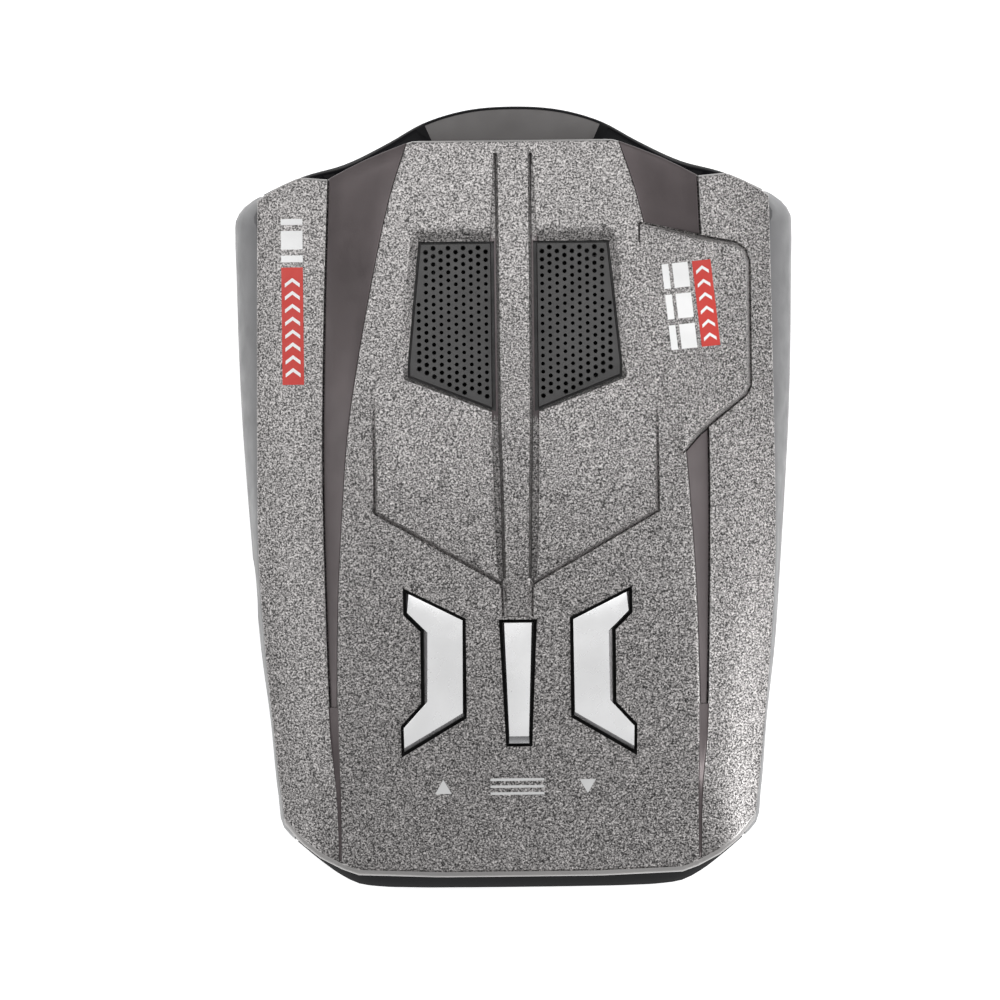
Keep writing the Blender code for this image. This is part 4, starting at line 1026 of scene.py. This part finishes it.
def placed(outline, origin, turn=0.0):
    cosine, sine = math.cos(turn), math.sin(turn)
    return [(origin[0] + x * cosine - y * sine, origin[1] + x * sine + y * cosine) for x, y in outline]


def bar(x0, y0, x1, y1):
    return [(x0, y0), (x1, y0), (x1, y1), (x0, y1)]


def chevron(x0, x1, y, rise, weight):
    """A V-shaped stripe across x0 to x1 that points towards +y."""
    middle = (x0 + x1) / 2
    return [(x0, y), (middle, y + rise), (x1, y), (x1, y + weight), (middle, y + rise + weight),
            (x0, y + weight)]


def film_piece(name, outlines, finish, origin=(0, 0), turn=0.0, lift=FILM_LIFT):
    """Thin printed shapes, cut small enough to follow the cover."""
    mesh = bmesh.new()
    for outline in outlines:
        mesh.faces.new([mesh.verts.new((x, y, 0.0)) for x, y in placed(outline, origin, turn)])
    bmesh.ops.triangulate(mesh, faces=mesh.faces)
    for axis in (0, 1):
        places = [vert.co[axis] for vert in mesh.verts]
        normal = Vector((axis == 0, axis == 1, 0))
        for step in range(math.ceil(min(places) / FILM_STEP), math.ceil(max(places) / FILM_STEP)):
            geometry = [*mesh.verts, *mesh.edges, *mesh.faces]
            bmesh.ops.bisect_plane(mesh, geom=geometry, plane_co=normal * step * FILM_STEP,
                                   plane_no=normal, dist=0.0005)
    bmesh.ops.triangulate(mesh, faces=mesh.faces)
    for vert in mesh.verts:
        vert.co.z = cover_z(vert.co.x, vert.co.y) + lift
    thicken(mesh, lambda x, y: cover_z(x, y) - FILM_SINK)
    piece(name, mesh, finish, smooth_angle=20)


def make_marks():
    """Plain graphics: signal bars and chevrons on the wing and the pod, and the keys' symbols."""
    left = (-31.1, 15.2)
    stripes = [bar(0, 16.4, 2.9, 17.3), bar(0, 18.1, 2.9, 20.6), bar(0, 21.4, 2.9, 22.2)]
    film_piece("mark_left_white", stripes, PRINT_WHITE, left)
    film_piece("mark_left_red", [bar(0, 0, 2.9, 15.7)], PRINT_RED, left)
    arrows = [chevron(0.45, 2.45, 1.0 + 1.72 * i, 0.75, 0.5) for i in range(8)]
    film_piece("mark_left_arrows", arrows, PRINT_WHITE, left, lift=ARROW_LIFT)

    tilt = math.radians(6)
    right = (20.9, 19.0)
    blocks = [bar(0, 0.2, 0.9, 3.5), bar(1.4, 0.2, 3.5, 3.5), bar(0, 4.3, 0.9, 7.6), bar(1.4, 4.3, 3.5, 7.6),
              bar(0, 8.4, 0.9, 11.7), bar(1.4, 8.4, 3.5, 11.7)]
    film_piece("mark_right_white", blocks, PRINT_WHITE, right, tilt)
    film_piece("mark_right_red", [bar(4.1, 0.2, 6.6, 11.7)], PRINT_RED, right, tilt)
    arrows = [chevron(4.5, 6.2, 0.9 + 1.8 * i, 0.65, 0.45) for i in range(6)]
    film_piece("mark_right_arrows", arrows, PRINT_WHITE, right, tilt, ARROW_LIFT)

    up = [(-1.1, -0.9), (1.1, -0.9), (0, 1.0)]
    down = [(x, -y) for x, y in reversed(up)]
    lines = [bar(-3.6, 0.75, 3.6, 1.1), bar(-3.6, -0.17, 3.6, 0.17), bar(-3.6, -1.1, 3.6, -0.75)]
    shapes = [placed(up, (-10.2, -38.8)), placed(down, (9.1, -38.8))]
    shapes += [placed(line, (-0.3, -38.8)) for line in lines]
    film_piece("key_symbols", shapes, PRINT_GREY)


# ---------------------------------------------------------------- feet, screws, label

def make_feet_and_screws():
    for name, (x, y) in FEET.items():
        mesh = bmesh.new()
        profile = [(0, 1.3), (3.95, 1.3), (4.0, 1.2), (4.0, 0.5), (3.85, 0.2), (3.6, 0.05), (3.3, 0.0),
                   (1.6, 0.0), (1.4, 0.12), (0, 0.15)]
        add_turned(mesh, profile, x, y)
        piece("foot_" + name, mesh, RUBBER, stands_for=["rubber_foot_" + name])
    for name, (x, y) in CASE_SCREWS.items():
        mesh = bmesh.new()
        profile = [(0, 17.0), (0.95, 16.4), (0.95, 3.7), (2.2, 3.7), (2.25, 3.2), (2.1, 2.3), (1.7, 1.9),
                   (0, 1.75)]
        add_turned(mesh, profile, x, y, 32)
        screw = piece("screw_" + name, mesh, SCREW, stands_for=["case_screw_" + name])
        tools = bmesh.new()
        far, near = RECESS_REACH, RECESS_HALF
        cross = [(far, -near), (far, near), (near, near), (near, far), (-near, far), (-near, near),
                 (-far, near), (-far, -near), (-near, -near), (-near, -far), (near, -far), (near, -near)]
        add_tower(tools, [(placed(cross, (x, y)), z) for z in (RECESS_FROM_Z, RECESS_TOP_Z)])
        carve(screw, tools)


# ---------------------------------------------------------------- CAD nodes that stay

NODE_FINISHES = {
    "board_green": (moulded, ((0.015, 0.13, 0.05), 0.4)),
    "tinplate": (brushed, ((0.62, 0.62, 0.62), 0.28)),
    "capacitor_can": (brushed, ((0.65, 0.65, 0.66), 0.25)),
    "cast_zinc": (moulded, ((0.42, 0.42, 0.43), 0.5, 0.9)),
    "black_plastic": (moulded, ((0.022, 0.022, 0.022), 0.5)),
    "red_filter": (glossy, ((0.2, 0.008, 0.008), 0.08)),
    "white_plastic": (moulded, ((0.72, 0.72, 0.69), 0.45)),
    "speaker_steel": (brushed, ((0.12, 0.12, 0.12), 0.5)),
    "foam": (moulded, ((0.05, 0.05, 0.05), 0.95)),
    "surround_rubber": (moulded, ((0.03, 0.03, 0.03), 0.75)),
    "paper_cone": (moulded, ((0.04, 0.04, 0.04), 0.85)),
    "wire_red": (moulded, ((0.45, 0.02, 0.02), 0.4)),
    "wire_black": (moulded, ((0.02, 0.02, 0.02), 0.4)),
    "contact_brass": (brushed, ((0.75, 0.55, 0.25), 0.28)),
}


def finish_nodes():
    made = {slot: build("part_" + slot, *values) for slot, (build, values) in NODE_FINISHES.items()}
    made.update({"screw_steel": SCREW, "label_film": LABEL})
    for subpart in frame["record"]["subparts"]:
        node = frame["nodes"][subpart["node"]]
        if subpart["material_slot"] in made:
            node.data.materials.clear()
            node.data.materials.append(made[subpart["material_slot"]])


# ---------------------------------------------------------------- floor, lights, camera

def make_floor():
    mesh = bmesh.new()
    bmesh.ops.create_grid(mesh, x_segments=1, y_segments=1, size=4000)
    floor = new_object("studio_floor", mesh)
    finish = Finish("studio_white", (0.9, 0.9, 0.9), 0.9)
    finish.shade(finish.spread(finish.noise(60.0), 0.99, 1.01))
    finish.shader.inputs["Emission Color"].default_value = (1, 1, 1, 1)
    finish.shader.inputs["Emission Strength"].default_value = 0.6
    floor.data.materials.append(finish.material)


def softbox(name, place, size, power, aim=(0, 0, 0.02)):
    light = bpy.data.lights.new(name, "AREA")
    light.shape = "RECTANGLE"
    light.size, light.size_y = size
    light.energy = power
    lamp = bpy.data.objects.new(name, light)
    lamp.location = place
    lamp.rotation_euler = (Vector(aim) - Vector(place)).to_track_quat("-Z", "Y").to_euler()
    lamp.visible_camera = False
    bpy.context.scene.collection.objects.link(lamp)


def make_lights():
    world = bpy.data.worlds.new("studio")
    world.use_nodes = True
    background = world.node_tree.nodes["Background"]
    background.inputs["Color"].default_value = (1, 1, 1, 1)
    background.inputs["Strength"].default_value = 0.34
    bpy.context.scene.world = world
    softbox("overhead", (0.0, 0.46, 1.3), (1.0, 0.8), 6.5)
    softbox("left", (-0.95, 0.2, 1.0), (0.8, 0.9), 5.5)
    softbox("right_front", (0.9, 0.35, 1.05), (0.3, 0.4), 2.5)
    softbox("right_rear", (0.17, -0.08, 0.115), (0.07, 0.07), 0.15, aim=(0.034, -0.036, 0.02))


def make_camera():
    distance = 2.0
    image_width = 0.1338
    turn = math.radians(-0.65)
    centre = Vector((-2.2, -0.5, 20.0)) * MM
    data = bpy.data.cameras.new("camera")
    data.sensor_width = 36.0
    data.lens = data.sensor_width * distance / image_width
    data.clip_start, data.clip_end = 0.1, 20.0
    camera = bpy.data.objects.new("camera", data)
    camera.location = centre + Vector((0, 0, distance))
    camera.rotation_euler = (0, 0, turn)
    bpy.context.scene.collection.objects.link(camera)
    bpy.context.scene.camera = camera
    bpy.context.scene.view_settings.view_transform = "Standard"


make_camera()
make_lights()
make_floor()
finish_nodes()
make_cover()
make_inlays()
make_windows()
make_case()
make_grilles()
make_buttons()
make_marks()
make_feet_and_screws()
